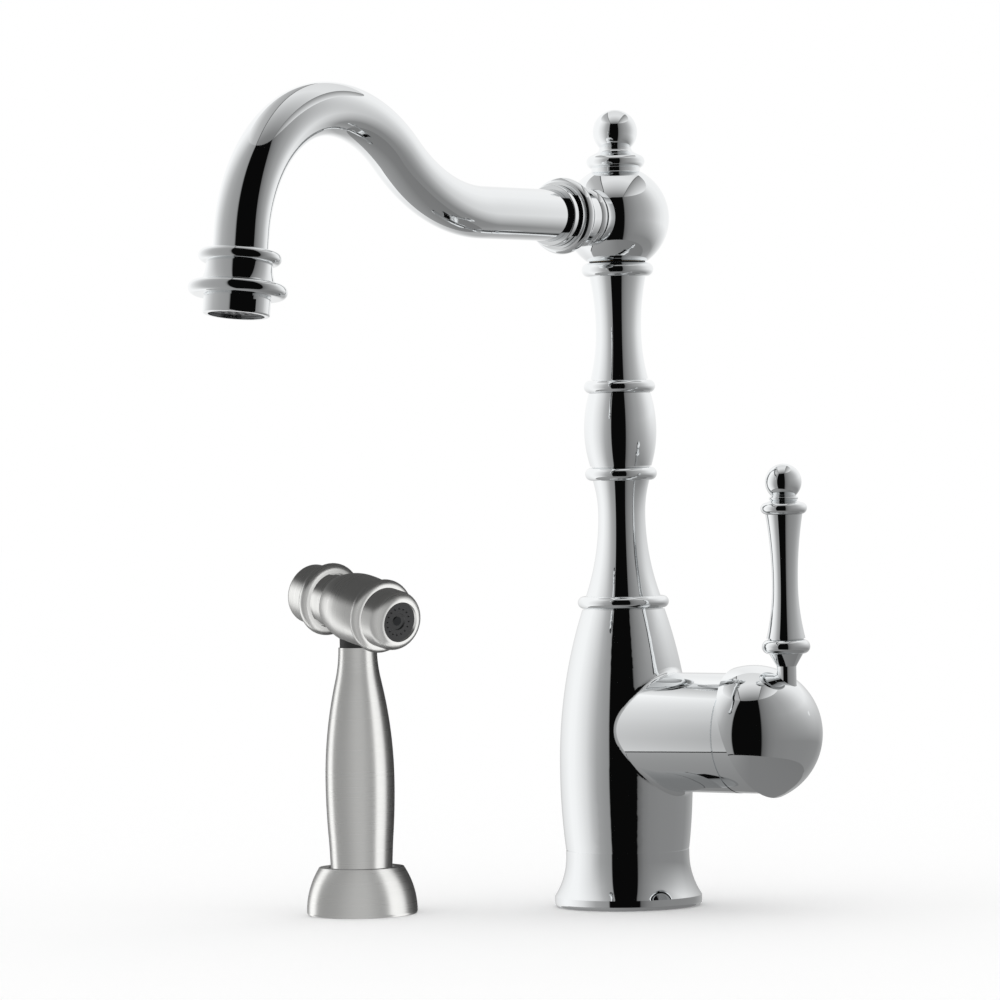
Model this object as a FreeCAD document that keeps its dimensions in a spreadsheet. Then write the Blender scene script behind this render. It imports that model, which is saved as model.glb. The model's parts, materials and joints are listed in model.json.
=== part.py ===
import FreeCAD, Part
import math
import os
import re

import Sketcher

# Side spray kitchen faucet in millimetres. The origin is the centre of the faucet's foot on the
# deck, +Z is up, the spout reaches along -Y and the mixing valve's branch along +X.

os.makedirs("parts", exist_ok=True)
doc = FreeCAD.newDocument("side_spray_kitchen_faucet")
V = FreeCAD.Vector

SIZES = {
    # fits and seams that many pieces share
    "seat_gap": 0.05,            # radial gap of screwed and pushed-in pieces
    "run_gap": 0.06,             # radial gap of a shaft that turns or slides
    "face_gap": 0.1,             # gap between faces that pass each other
    "seam": 0.5,                 # height of the shadow line where two turned pieces meet
    "seam_depth": 0.7,
    # flared foot flange and its gasket
    "flange_height": 24.3,
    "flange_foot_r": 32.0,
    "flange_edge": 2.0,
    "flange_side": 4.5,
    "flange_flare_top": 21.8,
    "flange_top_r": 26.8,
    "gasket_in_r": 26.0,
    "gasket_out_r": 29.0,
    "gasket_thick": 1.5,
    # valve body
    "spigot_r": 24.0,
    "body_height": 104.5,
    "body_foot_r": 26.8,
    "belly_r": 28.8,
    "belly_low": 33.5,           # heights above the flange
    "belly_high": 36.5,
    "body_top_r": 17.9,
    "valve_z": 75.8,
    "branch_r": 25.7,
    "branch_length": 60.0,
    "branch_blend": 3.0,
    "nose_r": 23.4,
    "nose_length": 4.0,
    "chamber_back": 24.0,        # back from the branch's end
    "chamber_r": 17.6,
    "nut_bore_r": 20.5,
    "nut_bore_depth": 8.0,
    "inlet_x": 12.0,
    "inlet_y": 9.0,
    "inlet_r": 4.5,
    "port_r": 3.0,
    "port_drop": 6.0,
    "mix_rise": 8.0,
    "mix_r": 4.0,
    "cross_wall": 1.0,
    "stud_x": -4.0,
    "stud_y": 16.0,
    "stud_r": 3.4,
    "stud_depth": 20.0,
    "spray_port_x": 10.5,
    "channel_r": 5.0,
    # turned column on its inner riser tube
    "column_bore_r": 7.7,
    "band_r": 19.8,
    "band_height": 5.3,
    "lower_foot_r": 16.2,
    "lower_waist_r": 10.2,
    "lower_waist_up": 35.5,
    "lower_top_r": 12.3,
    "lower_height": 50.2,
    "low_ring_r": 15.6,
    "low_ring_height": 5.7,
    "barrel_foot_r": 13.3,
    "barrel_r": 15.7,
    "barrel_middle": 16.2,
    "barrel_top_r": 13.4,
    "barrel_height": 32.3,
    "mid_ring_r": 15.5,
    "mid_ring_height": 5.5,
    "upper_foot_r": 12.5,
    "upper_waist_r": 9.8,
    "upper_waist_up": 22.0,
    "upper_top_r": 12.2,
    "upper_height": 45.0,
    "top_ring_r": 15.6,
    "top_ring_height": 6.0,
    "riser_r": 7.4,
    "riser_bore_r": 5.5,
    "riser_socket": 10.0,
    "diverter_r": 7.0,
    "diverter_length": 22.0,
    "diverter_land": 5.5,
    "diverter_waist_r": 5.2,
    "diverter_bore_r": 3.5,
    # swivel post, seals and what holds the spout down
    "shank_length": 15.0,
    "post_r": 11.0,
    "post_length": 31.2,
    "post_bore_up": 24.0,
    "window_r": 3.8,
    "o_ring_cord": 2.4,
    "o_ring_groove": 2.6,
    "o_ring_low": 4.0,
    "o_ring_high": 27.4,
    "swivel_washer_r": 12.2,
    "swivel_washer_thick": 0.5,
    "holding_screw_r": 3.0,
    "holding_screw_depth": 7.0,
    "holding_head_r": 5.5,
    "holding_head": 3.0,
    "holding_washer_r": 7.0,
    "holding_washer_thick": 1.0,
    # ball hub and finial
    "hub_r": 22.8,
    "hub_drop": 18.7,
    "hub_rise": 20.2,
    "hub_neck": 1.6,
    "roof_thick": 3.0,
    "pocket_r": 7.9,
    "boss_r": 12.2,
    "boss_root": 15.0,
    "boss_reach": 24.0,
    "seat_start": 14.0,
    "hub_port_r": 4.8,
    "finial_shank": 2.0,
    "finial_foot_r": 10.9,
    "finial_collar_r": 12.6,
    "finial_collar_mid": 2.8,
    "finial_collar_top_r": 11.0,
    "finial_collar_top": 5.3,
    "finial_slope_r": 7.8,
    "finial_slope_top": 6.8,
    "finial_waist_r": 6.9,
    "finial_waist_up": 9.0,
    "finial_ball_r": 9.6,
    # spout collar, tube and outlet
    "collar_ring_r": 12.9,
    "collar_ring": 4.4,
    "collar_neck_r": 11.9,
    "collar_neck_up": 9.0,
    "collar_root_r": 14.4,
    "collar_big_up": 15.5,
    "collar_big_r": 16.4,
    "collar_big": 5.4,
    "collar_step_r": 14.3,
    "collar_step": 1.8,
    "collar_front_r": 13.1,
    "collar_front": 4.4,
    "tube_r": 11.0,
    "tube_wall": 1.5,
    "tube_seal_thick": 1.0,
    "spout_straight": 102.0,
    "spout_rise": 39.3,
    "rise_bend_r": 91.5,
    "rise_run": 4.0,
    "crest_bend_r": 69.0,
    "drop_bend_r": 59.3,
    "outlet_lean": 8.0,
    "outlet_run": 19.2,
    "outlet_engage": 12.0,
    "outlet_top_ring_r": 16.5,
    "outlet_top_ring": 5.2,
    "outlet_neck_r": 13.2,
    "outlet_neck_foot_r": 14.9,
    "outlet_neck_end": 12.8,
    "outlet_low_ring_r": 19.7,
    "outlet_low_ring": 5.6,
    "aerator_thread_r": 12.1,
    "aerator_seal": 1.5,
    "aerator_seal_bore_r": 9.0,
    "aerator_r": 13.3,
    "aerator_show": 7.2,
    "aerator_edge": 0.7,
    "aerator_bore_r": 11.2,
    "aerator_lip": 1.5,
    "aerator_recess": 1.3,
    "aerator_flat": 12.5,
    "aerator_flat_long": 5.4,
    "aerator_flat_turn": 38.0,
    "screen_r": 10.2,
    "screen_thick": 0.9,
    "screen_hole_r": 1.0,
    "screen_ring_r": 6.6,
    "screen_holes": 12,
    # ceramic cartridge
    "pivot_out": 6.0,            # beyond the branch's end
    "cartridge_r": 17.5,
    "cartridge_wall": 1.8,
    "cartridge_base": 6.0,
    "disc_r": 14.0,
    "disc_thick": 4.0,
    "moving_disc_r": 9.5,
    "moving_disc_thick": 6.0,
    "moving_disc_slot": 5.2,
    "shoulder_back": 2.0,
    "shoulder_thick": 1.8,
    "cartridge_neck_r": 12.5,
    "carrier_r": 9.9,
    "carrier_foot_r": 13.0,
    "carrier_foot": 3.0,
    "carrier_ring_r": 8.2,
    "carrier_out": 10.0,
    "fork_slot": 9.2,
    "pin_r": 1.5,
    "eye_r": 4.3,
    "stem_r": 4.0,
    "stem_reach": 24.0,
    "tail_r": 1.3,
    "tail_reach": 16.5,
    "tail_ball_r": 2.4,
    "nut_length": 5.0,
    # bonnet and dome handle
    "bonnet_wall": 2.0,
    "bonnet_r": 25.6,
    "bonnet_ball_r": 26.5,
    "bonnet_cut": 12.5,          # how far the flat cut lies beyond the pivot
    "bonnet_mouth_r": 15.0,
    "dome_r": 29.3,
    "dome_wall": 1.5,
    "dome_rim": 1.8,
    "dome_lean": 18.0,
    "dome_solid": 19.5,
    "dome_hub_r": 7.0,
    "dome_hub_foot": 14.0,
    "dome_stem_end": 24.5,
    "grub_r": 2.0,
    "grub_up": 22.0,
    "grub_length": 7.0,
    # lever
    "lever_x": 16.8,             # beyond the pivot
    "lever_foot": 14.0,
    "lever_stem_r": 4.2,
    "lever_cone_foot": 29.0,
    "lever_cone_top_r": 7.2,
    "lever_cone_top": 34.3,
    "lever_ring_r": 10.3,
    "lever_ring": 6.1,
    "lever_stud_r": 2.5,
    "lever_stud": 14.0,
    "grip_foot_r": 8.3,
    "grip_waist_r": 5.5,
    "grip_waist_up": 24.0,
    "grip_top_r": 7.9,
    "grip_height": 53.3,
    "grip_collar_r": 9.9,
    "grip_collar": 5.0,
    "grip_collar_edge": 1.0,
    "grip_cup_r": 6.2,
    "grip_cup": 1.6,
    "knob_neck_r": 5.4,
    "knob_neck": 0.5,
    "knob_r": 7.8,
    "knob_stud": 8.0,
    # spray holder on the deck
    "spray_x": -82.96,
    "spray_y": -82.56,
    "holder_foot_r": 23.9,
    "holder_edge": 1.5,
    "holder_height": 20.5,
    "holder_top_r": 18.3,
    "holder_bore_r": 14.3,
    "holder_hose_r": 9.0,
    "holder_floor": 5.0,
    "holder_seal_in_r": 17.5,
    "holder_seal_out_r": 20.5,
    "bush_wall": 0.7,
    "bush_floor": 1.4,
    "bush_height": 10.2,
    # spray handle and its hose end
    "spray_foot_r": 12.5,
    "spray_low_r": 13.1,
    "spray_low": 15.0,
    "spray_belly_foot_r": 13.7,
    "spray_belly_foot": 30.0,
    "spray_belly_r": 14.9,
    "spray_belly": 57.5,
    "spray_turnback": 100.7,
    "spray_neck_r": 8.3,
    "spray_neck": 115.0,
    "spray_bore_r": 6.0,
    "spray_cavity_r": 10.5,
    "spray_cavity_top": 30.0,
    "hose_nut_r": 10.4,
    "hose_nut": 18.0,
    "hose_thread_r": 4.6,
    "hose_thread": 12.0,
    "hose_bore_r": 3.0,
    "clip_thick": 1.2,
    # spray head
    "head_z": 132.0,
    "head_yaw": -17.0,
    "head_tilt": 10.3,
    "neck_thread": 10.0,
    "neck_gasket": 4.0,
    "neck_gasket_r": 7.7,
    "neck_r": 6.4,
    "neck_bore_r": 4.0,
    "neck_root": 10.0,
    "head_neck_r": 11.4,
    "head_neck_back": 17.4,
    "head_guide_back": 25.3,
    "head_seam_back": 10.4,
    "head_barrel_foot_r": 12.6,
    "head_barrel_r": 15.3,
    "head_barrel_mid": 2.5,
    "head_barrel_end_r": 14.3,
    "head_barrel_end": 14.8,
    "head_thread_r": 11.0,
    "head_thread_end": 21.0,
    "head_chamber_r": 8.5,
    "head_wall_front": 8.0,
    "head_wall_back": 12.0,
    "spring_pocket_r": 8.2,
    "front_ring_r": 16.0,
    "front_ring": 5.2,
    "nozzle_r": 12.9,
    "nozzle_side": 26.9,
    "nozzle_lip_r": 9.7,
    "nozzle_end": 31.6,
    "nozzle_mouth_r": 8.65,
    "spray_face_thick": 2.4,
    "spray_face_recess": 1.6,
    "spray_hole_r": 0.55,
    "spray_hole_ring_r": 5.7,
    "spray_holes": 16,
    "spray_recess_r": 3.7,
    "spray_recess": 1.4,
    "spray_pin_r": 1.9,
    "spray_pin_back": 12.5,
    # push button at the back of the head
    "button_r": 13.0,
    "button_end": 34.8,
    "button_edge": 2.6,
    "button_side_end": 22.6,
    "button_cap_wall": 2.6,
    "button_ring_r": 15.9,
    "button_ring": 5.0,
    "button_skirt_gap": 0.7,
    "plunger_r": 2.4,
    "plunger_front": 1.0,
    "plunger_head_r": 5.0,
    "plunger_head": 2.0,
    "plunger_seal_cord": 1.4,
    "spring_wire": 1.1,
    "spring_r": 6.2,
    "spring_turns": 5,
}

ALONG_X = "1; 0; 0"
ALONG_Y = "0; 1; 0"

sheet = doc.addObject("Spreadsheet::Sheet", "size")
for row, (name, number) in enumerate(SIZES.items(), 1):
    sheet.set(f"A{row}", name)
    sheet.set(f"B{row}", str(number))
    sheet.setAlias(f"B{row}", name)
doc.recompute()


def bound(formula):
    """The formula with the sheet's name put before each size in it."""
    def named(word):
        return "size." + word[0] if word[0] in SIZES else word[0]

    return re.sub(r"[a-z][a-z0-9_]*", named, formula)


def value(formula):
    """The number that a formula of sizes has now."""
    return float(sheet.evalExpression(bound(formula)))


# ---------------------------------------------------------------- sketches and features


def new_body(label):
    body = doc.addObject("PartDesign::Body", label)
    body.Label = label
    return body


def plane(body, role):
    return [item for item in body.Origin.OriginFeatures if item.Role == role][0]


def new_sketch(body, role, name, lift="0", turn=None):
    """A sketch on one of the body's own origin planes, lifted along the plane's normal.

    The plane may be turned first, as (axis, angle): "x" or "y" turns it about that axis of the
    sketch, "z" within itself.
    """
    sketch = body.newObject("Sketcher::SketchObject", name)
    sketch.AttachmentSupport = [(plane(body, role), "")]
    sketch.MapMode = "FlatFace"
    axis, angle = turn or ("z", "0")
    unit = {"x": "vector(1; 0; 0)", "y": "vector(0; 1; 0)", "z": "vector(0; 0; 1)"}[axis]
    shift = {
        "x": f"vector(0; -({lift}) * sin({angle}); ({lift}) * cos({angle}))",
        "y": f"vector(({lift}) * sin({angle}); 0; ({lift}) * cos({angle}))",
        "z": f"vector(0; 0; {lift})",
    }[axis]
    sketch.setExpression("AttachmentOffset", f"placement({bound(shift)}; rotation({unit}; {bound(angle)}))")
    return sketch


def hold(sketch, piece, point, across, up):
    """Fixes a point of a sketch at two formulas, measured from the origin."""
    for kind, formula, axis in (("DistanceX", across, -2), ("DistanceY", up, -1)):
        if formula is None:
            continue
        if formula == "0":
            sketch.addConstraint(Sketcher.Constraint("PointOnObject", piece, point, axis))
        else:
            spot = sketch.addConstraint(Sketcher.Constraint(kind, -1, 1, piece, point, value(formula)))
            sketch.setExpression(f"Constraints[{spot}]", bound(formula))


def arc_centre(start, end, centre_r, centre_z):
    """The centre that is as far from both ends, with one of its coordinates given."""
    (r0, z0), (r1, z1) = start, end
    if centre_r is not None:
        level = ((r1 - centre_r) ** 2 - (r0 - centre_r) ** 2 + z1 ** 2 - z0 ** 2) / (2 * (z1 - z0))
        return centre_r, level
    middle = ((z1 - centre_z) ** 2 - (z0 - centre_z) ** 2 + r1 ** 2 - r0 ** 2) / (2 * (r1 - r0))
    return middle, centre_z


def draw_outline(sketch, outline):
    """Draws a closed outline of lines and arcs.

    Each entry is a corner (across, up), or (across, up, centre_across, centre_up) where an arc
    leads to the corner from the one before, with one of the centre's two formulas given.
    """
    corners = [(value(entry[0]), value(entry[1])) for entry in outline]
    count = len(outline)
    ends = []
    for number in range(count):
        start, end = corners[number], corners[(number + 1) % count]
        entry = outline[(number + 1) % count]
        if len(entry) == 2:
            sketch.addGeometry(Part.LineSegment(V(*start, 0), V(*end, 0)), False)
            ends.append((1, 2))
            continue
        given = [None if formula is None else value(formula) for formula in entry[2:]]
        centre = arc_centre(start, end, *given)
        first = math.atan2(start[1] - centre[1], start[0] - centre[0])
        last = math.atan2(end[1] - centre[1], end[0] - centre[0])
        sweep = (last - first) % (2 * math.pi)
        half_turn = abs(sweep - math.pi) < 1e-6
        forward = end[1] > start[1] if half_turn else sweep < math.pi
        circle = Part.Circle(V(*centre, 0), V(0, 0, 1), math.dist(centre, start))
        span = (first, last) if forward else (last, first)
        sketch.addGeometry(Part.ArcOfCircle(circle, *span), False)
        ends.append((1, 2) if forward else (2, 1))
    for number, entry in enumerate(outline):
        hold(sketch, number, ends[number][0], entry[0], entry[1])
        after = (number + 1) % count
        joint = Sketcher.Constraint("Coincident", number, ends[number][1], after, ends[after][0])
        sketch.addConstraint(joint)
        if len(outline[after]) == 4:
            hold(sketch, number, 3, *outline[after][2:])


def draw_circles(sketch, circles):
    """Draws circles, each (across, up, radius) as formulas."""
    for number, (across, up, radius) in enumerate(circles):
        centre = V(value(across), value(up), 0)
        sketch.addGeometry(Part.Circle(centre, V(0, 0, 1), value(radius)), False)
        hold(sketch, number, 3, across, up)
        spot = sketch.addConstraint(Sketcher.Constraint("Radius", number, value(radius)))
        sketch.setExpression(f"Constraints[{spot}]", bound(radius))


def turned(label, outline):
    """A body turned on a lathe: its outline goes once round its own Z axis."""
    body = new_body(label)
    sketch = new_sketch(body, "XZ_Plane", label + "_outline")
    draw_outline(sketch, outline)
    turn = body.newObject("PartDesign::Revolution", label + "_turn")
    turn.Profile = sketch
    turn.ReferenceAxis = (sketch, ["V_Axis"])
    turn.Angle = 360
    return body


def padded(body, role, circles, length, lift="0", turn=None):
    """Adds round bosses to a body, along a plane's normal."""
    number = len(body.Group)
    sketch = new_sketch(body, role, f"{body.Label}_boss_{number}", lift, turn)
    draw_circles(sketch, circles)
    pad = body.newObject("PartDesign::Pad", f"{body.Label}_pad_{number}")
    pad.Profile = sketch
    pad.setExpression("Length", bound(length))
    return pad


def cut_away(body, sketch, depth, forward=False):
    """Cuts a sketch's outlines out of a body, against the sketch's normal or forward along it."""
    doc.recompute()
    before = body.Shape.Volume
    pocket = body.newObject("PartDesign::Pocket", sketch.Label + "_cut")
    pocket.Profile = sketch
    pocket.setExpression("Length", bound(depth))
    pocket.Reversed = forward
    doc.recompute()
    if not body.Shape.Volume < before:
        raise ValueError(f"a cut in {body.Label} takes nothing away")
    return pocket


def bored(body, role, circles, depth, lift="0", forward=False, turn=None):
    """Drills holes of a depth, against the plane's normal or forward along it."""
    sketch = new_sketch(body, role, f"{body.Label}_hole_{len(body.Group)}", lift, turn)
    draw_circles(sketch, circles)
    return cut_away(body, sketch, depth, forward)


def ring(rim_r, up, height):
    """The two corners of a bead ring whose rim is a half circle."""
    middle = f"{rim_r} - {height} / 2"
    return [(middle, up), (middle, f"{up} + {height}", middle, None)]


def bead(rim_r, root_r, up, height):
    """The two corners of a bead that swells from a root radius to its rim."""
    swell = f"({rim_r} - {root_r})"
    centre = f"{rim_r} - ({swell} ^ 2 + ({height} / 2) ^ 2) / (2 * {swell})"
    return [(root_r, up), (root_r, f"{up} + {height}", centre, None)]


def cylinder_ring(label, inner, outer, low, high):
    """A plain turned ring or sleeve."""
    return turned(label, [(inner, low), (outer, low), (outer, high), (inner, high)])


def o_ring(label, outer, cord, middle):
    """A round-section seal whose outside touches the radius outer."""
    body = new_body(label)
    sketch = new_sketch(body, "XZ_Plane", label + "_section")
    draw_circles(sketch, [(f"{outer} - {cord} / 2", middle, f"{cord} / 2")])
    turn = body.newObject("PartDesign::Revolution", label + "_turn")
    turn.Profile = sketch
    turn.ReferenceAxis = (sketch, ["V_Axis"])
    turn.Angle = 360
    return body


def seat(body, across="0", along="0", up="0", axis="0; 0; 1", angle="0", yaw="0"):
    """Places a body: turned about an axis, then about Z by yaw, then moved."""
    turn = f"rotation(vector(0; 0; 1); {yaw}) * rotation(vector({axis}); {angle})"
    body.setExpression("Placement", bound(f"placement(vector({across}; {along}; {up}); {turn})"))


# ---------------------------------------------------------------- heights up the column

FLANGE_TOP = "flange_height"
BODY_TOP = "(flange_height + body_height)"
LOWER_FOOT = f"({BODY_TOP} + seam + band_height)"
BARREL_FOOT = f"({LOWER_FOOT} + lower_height + low_ring_height)"
UPPER_FOOT = f"({BARREL_FOOT} + barrel_height + mid_ring_height)"
COLUMN_TOP = f"({UPPER_FOOT} + upper_height + top_ring_height)"
HUB_FOOT = f"({COLUMN_TOP} + swivel_washer_thick + face_gap)"
HUB_Z = f"({HUB_FOOT} + hub_drop)"
POST_TOP = f"({COLUMN_TOP} + post_length)"
ROOF_Z = f"({POST_TOP} + 3 * face_gap)"
ROOF_TOP = f"({ROOF_Z} + roof_thick)"
NECK_TOP = f"({HUB_Z} + hub_rise + hub_neck)"

# ---------------------------------------------------------------- stations along the branch

NOSE_END = "(branch_length + nose_length)"
CHAMBER_X = "(branch_length - chamber_back)"
SHOULDER_X = "(branch_length - shoulder_back)"
PIVOT_X = "(branch_length + pivot_out)"
CARRIER_END = "(branch_length + carrier_out)"

# ---------------------------------------------------------------- foot

turned("base_flange", [
    ("spigot_r + seat_gap", "0"),
    ("gasket_in_r", "0"),
    ("gasket_in_r", "gasket_thick"),
    ("gasket_out_r", "gasket_thick"),
    ("gasket_out_r", "0"),
    ("flange_foot_r - flange_edge", "0"),
    ("flange_foot_r", "flange_edge", "flange_foot_r - flange_edge", None),
    ("flange_foot_r", "flange_side"),
    ("flange_top_r", "flange_flare_top", None, "flange_flare_top"),
    ("flange_top_r", FLANGE_TOP),
    ("spigot_r + seat_gap", FLANGE_TOP),
])
cylinder_ring("base_gasket", "gasket_in_r + seat_gap", "gasket_out_r - seat_gap", "0", "gasket_thick")

# ---------------------------------------------------------------- valve body

valve_body = turned("valve_body", [
    ("0", "0"),
    ("spigot_r", "0"),
    ("spigot_r", FLANGE_TOP),
    ("body_foot_r - seam_depth", FLANGE_TOP),
    ("body_foot_r - seam_depth", f"{FLANGE_TOP} + seam"),
    ("body_foot_r", f"{FLANGE_TOP} + seam"),
    ("belly_r", f"{FLANGE_TOP} + belly_low", None, f"{FLANGE_TOP} + belly_low"),
    ("belly_r", f"{FLANGE_TOP} + belly_high"),
    ("body_top_r", BODY_TOP, None, f"{FLANGE_TOP} + belly_high"),
    ("0", BODY_TOP),
])
padded(valve_body, "YZ_Plane", [("0", "valve_z", "branch_r")], "branch_length")
doc.recompute()


def on_branch(point):
    """True for a point on the branch's round surface."""
    off_axis = math.hypot(point.y, point.z - value("valve_z"))
    return abs(off_axis - value("branch_r")) < 0.01 and point.x < value("branch_length") - 1


blend_edges = []
for number, edge in enumerate(valve_body.Shape.Edges, 1):
    if all(on_branch(edge.valueAt(edge.FirstParameter + share * (edge.LastParameter - edge.FirstParameter)))
           for share in (0.1, 0.5, 0.9)):
        if edge.Curve.TypeId != "Part::GeomLine":
            blend_edges.append(f"Edge{number}")
unblended = valve_body.Tip
blend = valve_body.newObject("PartDesign::Fillet", "valve_body_blend")
blend.Base = (unblended, blend_edges)
blend.setExpression("Radius", bound("branch_blend"))
doc.recompute()

padded(valve_body, "YZ_Plane", [("0", "valve_z", "nose_r")], "nose_length", lift="branch_length")
bored(valve_body, "YZ_Plane", [("0", "valve_z", "chamber_r")], f"{NOSE_END} - {CHAMBER_X}", lift=NOSE_END)
bored(valve_body, "YZ_Plane", [("0", "valve_z", "nut_bore_r")], "nut_bore_depth", lift=NOSE_END)
port_pair = [(side + "inlet_y", "valve_z - port_drop", "port_r") for side in ("", "-")]
bored(valve_body, "YZ_Plane", port_pair, f"{CHAMBER_X} - inlet_x", lift=CHAMBER_X)
bored(valve_body, "YZ_Plane", [("0", "valve_z + mix_rise", "mix_r")], CHAMBER_X, lift=CHAMBER_X)
inlet_pair = [("inlet_x", side + "inlet_y", "inlet_r") for side in ("", "-")]
bored(valve_body, "XY_Plane", inlet_pair, "valve_z - port_drop + port_r", forward=True)
bored(valve_body, "XY_Plane", [("stud_x", "stud_y", "stud_r")], "stud_depth", forward=True)
CROSS_Z = "(valve_z + mix_rise + mix_r + cross_wall + port_r)"
bored(valve_body, "XY_Plane", [("-spray_port_x", "0", "inlet_r")], CROSS_Z, forward=True)
bored(valve_body, "YZ_Plane", [("0", CROSS_Z, "port_r")], "spray_port_x")
bored(valve_body, "XY_Plane", [("0", "0", "riser_r + seat_gap")], "riser_socket", lift=BODY_TOP)
DIVERTER_DEPTH = "riser_socket + diverter_length"
bored(valve_body, "XY_Plane", [("0", "0", "diverter_r + seat_gap")], DIVERTER_DEPTH, lift=BODY_TOP)
bored(valve_body, "XY_Plane", [("0", "0", "channel_r")], f"{BODY_TOP} - valve_z - mix_rise", lift=BODY_TOP)

# ---------------------------------------------------------------- column

turned("band_ring", [
    ("column_bore_r", BODY_TOP),
    ("body_top_r - seam_depth", BODY_TOP),
    ("body_top_r - seam_depth", f"{BODY_TOP} + seam"),
    *ring("band_r", f"{BODY_TOP} + seam", "band_height"),
    ("column_bore_r", LOWER_FOOT),
])
turned("column_lower", [
    ("column_bore_r", LOWER_FOOT),
    ("lower_foot_r", LOWER_FOOT),
    ("lower_waist_r", f"{LOWER_FOOT} + lower_waist_up", None, f"{LOWER_FOOT} + lower_waist_up"),
    ("lower_top_r", f"{LOWER_FOOT} + lower_height", None, f"{LOWER_FOOT} + lower_waist_up"),
    *ring("low_ring_r", f"{LOWER_FOOT} + lower_height", "low_ring_height"),
    ("column_bore_r", BARREL_FOOT),
])
turned("column_barrel", [
    ("column_bore_r", BARREL_FOOT),
    ("barrel_foot_r - seam_depth", BARREL_FOOT),
    ("barrel_foot_r - seam_depth", f"{BARREL_FOOT} + seam"),
    ("barrel_foot_r", f"{BARREL_FOOT} + seam"),
    ("barrel_r", f"{BARREL_FOOT} + barrel_middle", None, f"{BARREL_FOOT} + barrel_middle"),
    ("barrel_top_r", f"{BARREL_FOOT} + barrel_height", None, f"{BARREL_FOOT} + barrel_middle"),
    *ring("mid_ring_r", f"{BARREL_FOOT} + barrel_height", "mid_ring_height"),
    ("column_bore_r", UPPER_FOOT),
])
turned("column_upper", [
    ("column_bore_r", UPPER_FOOT),
    ("upper_foot_r - seam_depth", UPPER_FOOT),
    ("upper_foot_r - seam_depth", f"{UPPER_FOOT} + seam"),
    ("upper_foot_r", f"{UPPER_FOOT} + seam"),
    ("upper_waist_r", f"{UPPER_FOOT} + upper_waist_up", None, f"{UPPER_FOOT} + upper_waist_up"),
    ("upper_top_r", f"{UPPER_FOOT} + upper_height", None, f"{UPPER_FOOT} + upper_waist_up"),
    *ring("top_ring_r", f"{UPPER_FOOT} + upper_height", "top_ring_height"),
    ("column_bore_r", COLUMN_TOP),
])
SHANK_FOOT = f"({COLUMN_TOP} - shank_length)"
cylinder_ring("riser_tube", "riser_bore_r", "riser_r", f"{BODY_TOP} - riser_socket", SHANK_FOOT)
DIVERTER_FOOT = f"({BODY_TOP} - riser_socket - diverter_length)"
turned("diverter_valve", [
    ("diverter_bore_r", DIVERTER_FOOT),
    ("diverter_r", DIVERTER_FOOT),
    ("diverter_r", f"{DIVERTER_FOOT} + diverter_land"),
    ("diverter_waist_r", f"{DIVERTER_FOOT} + diverter_land"),
    ("diverter_waist_r", f"{DIVERTER_FOOT} + diverter_length - diverter_land"),
    ("diverter_r", f"{DIVERTER_FOOT} + diverter_length - diverter_land"),
    ("diverter_r", f"{DIVERTER_FOOT} + diverter_length - face_gap"),
    ("diverter_bore_r", f"{DIVERTER_FOOT} + diverter_length - face_gap"),
])

# ---------------------------------------------------------------- swivel

GROOVE_R = "(post_r + run_gap / 2 - o_ring_cord)"


def groove(foot):
    """The corners of a seal groove cut into the post, from the bottom up."""
    roof = f"{foot} + o_ring_groove"
    return [("post_r", foot), (GROOVE_R, foot), (GROOVE_R, roof), ("post_r", roof)]


post = turned("swivel_post", [
    ("riser_bore_r", SHANK_FOOT),
    ("column_bore_r - seat_gap", SHANK_FOOT),
    ("column_bore_r - seat_gap", COLUMN_TOP),
    ("post_r", COLUMN_TOP),
    *groove(f"{COLUMN_TOP} + o_ring_low"),
    *groove(f"{COLUMN_TOP} + o_ring_high"),
    ("post_r", POST_TOP),
    ("holding_screw_r + seat_gap", POST_TOP),
    ("holding_screw_r + seat_gap", f"{COLUMN_TOP} + post_bore_up"),
    ("riser_bore_r", f"{COLUMN_TOP} + post_bore_up"),
])
WINDOW_START = "(post_r + face_gap)"
for role in ("XZ_Plane", "YZ_Plane"):
    bored(post, role, [("0", HUB_Z, "window_r")], f"2 * {WINDOW_START}", lift=WINDOW_START)
for name, foot in (("lower", "o_ring_low"), ("upper", "o_ring_high")):
    seal_z = f"{COLUMN_TOP} + {foot} + o_ring_groove / 2"
    o_ring(f"swivel_o_ring_{name}", "(post_r + run_gap / 2)", "o_ring_cord", seal_z)
SWIVEL_WASHER_TOP = f"{COLUMN_TOP} + swivel_washer_thick"
cylinder_ring("swivel_washer", "post_r + seat_gap", "swivel_washer_r", COLUMN_TOP, SWIVEL_WASHER_TOP)
WASHER_Z = f"({ROOF_TOP} + face_gap)"
HEAD_Z = f"({WASHER_Z} + holding_washer_thick)"
cylinder_ring("holding_washer", "holding_screw_r + seat_gap", "holding_washer_r", WASHER_Z, HEAD_Z)
turned("holding_screw", [
    ("0", f"{POST_TOP} - holding_screw_depth"),
    ("holding_screw_r", f"{POST_TOP} - holding_screw_depth"),
    ("holding_screw_r", HEAD_Z),
    ("holding_head_r", HEAD_Z),
    ("holding_head_r", f"{HEAD_Z} + holding_head"),
    ("holding_head_r / 2", f"{HEAD_Z} + holding_head"),
    ("holding_head_r / 2", f"{HEAD_Z} + holding_head / 2"),
    ("0", f"{HEAD_Z} + holding_head / 2"),
])

# ---------------------------------------------------------------- hub and finial

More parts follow.
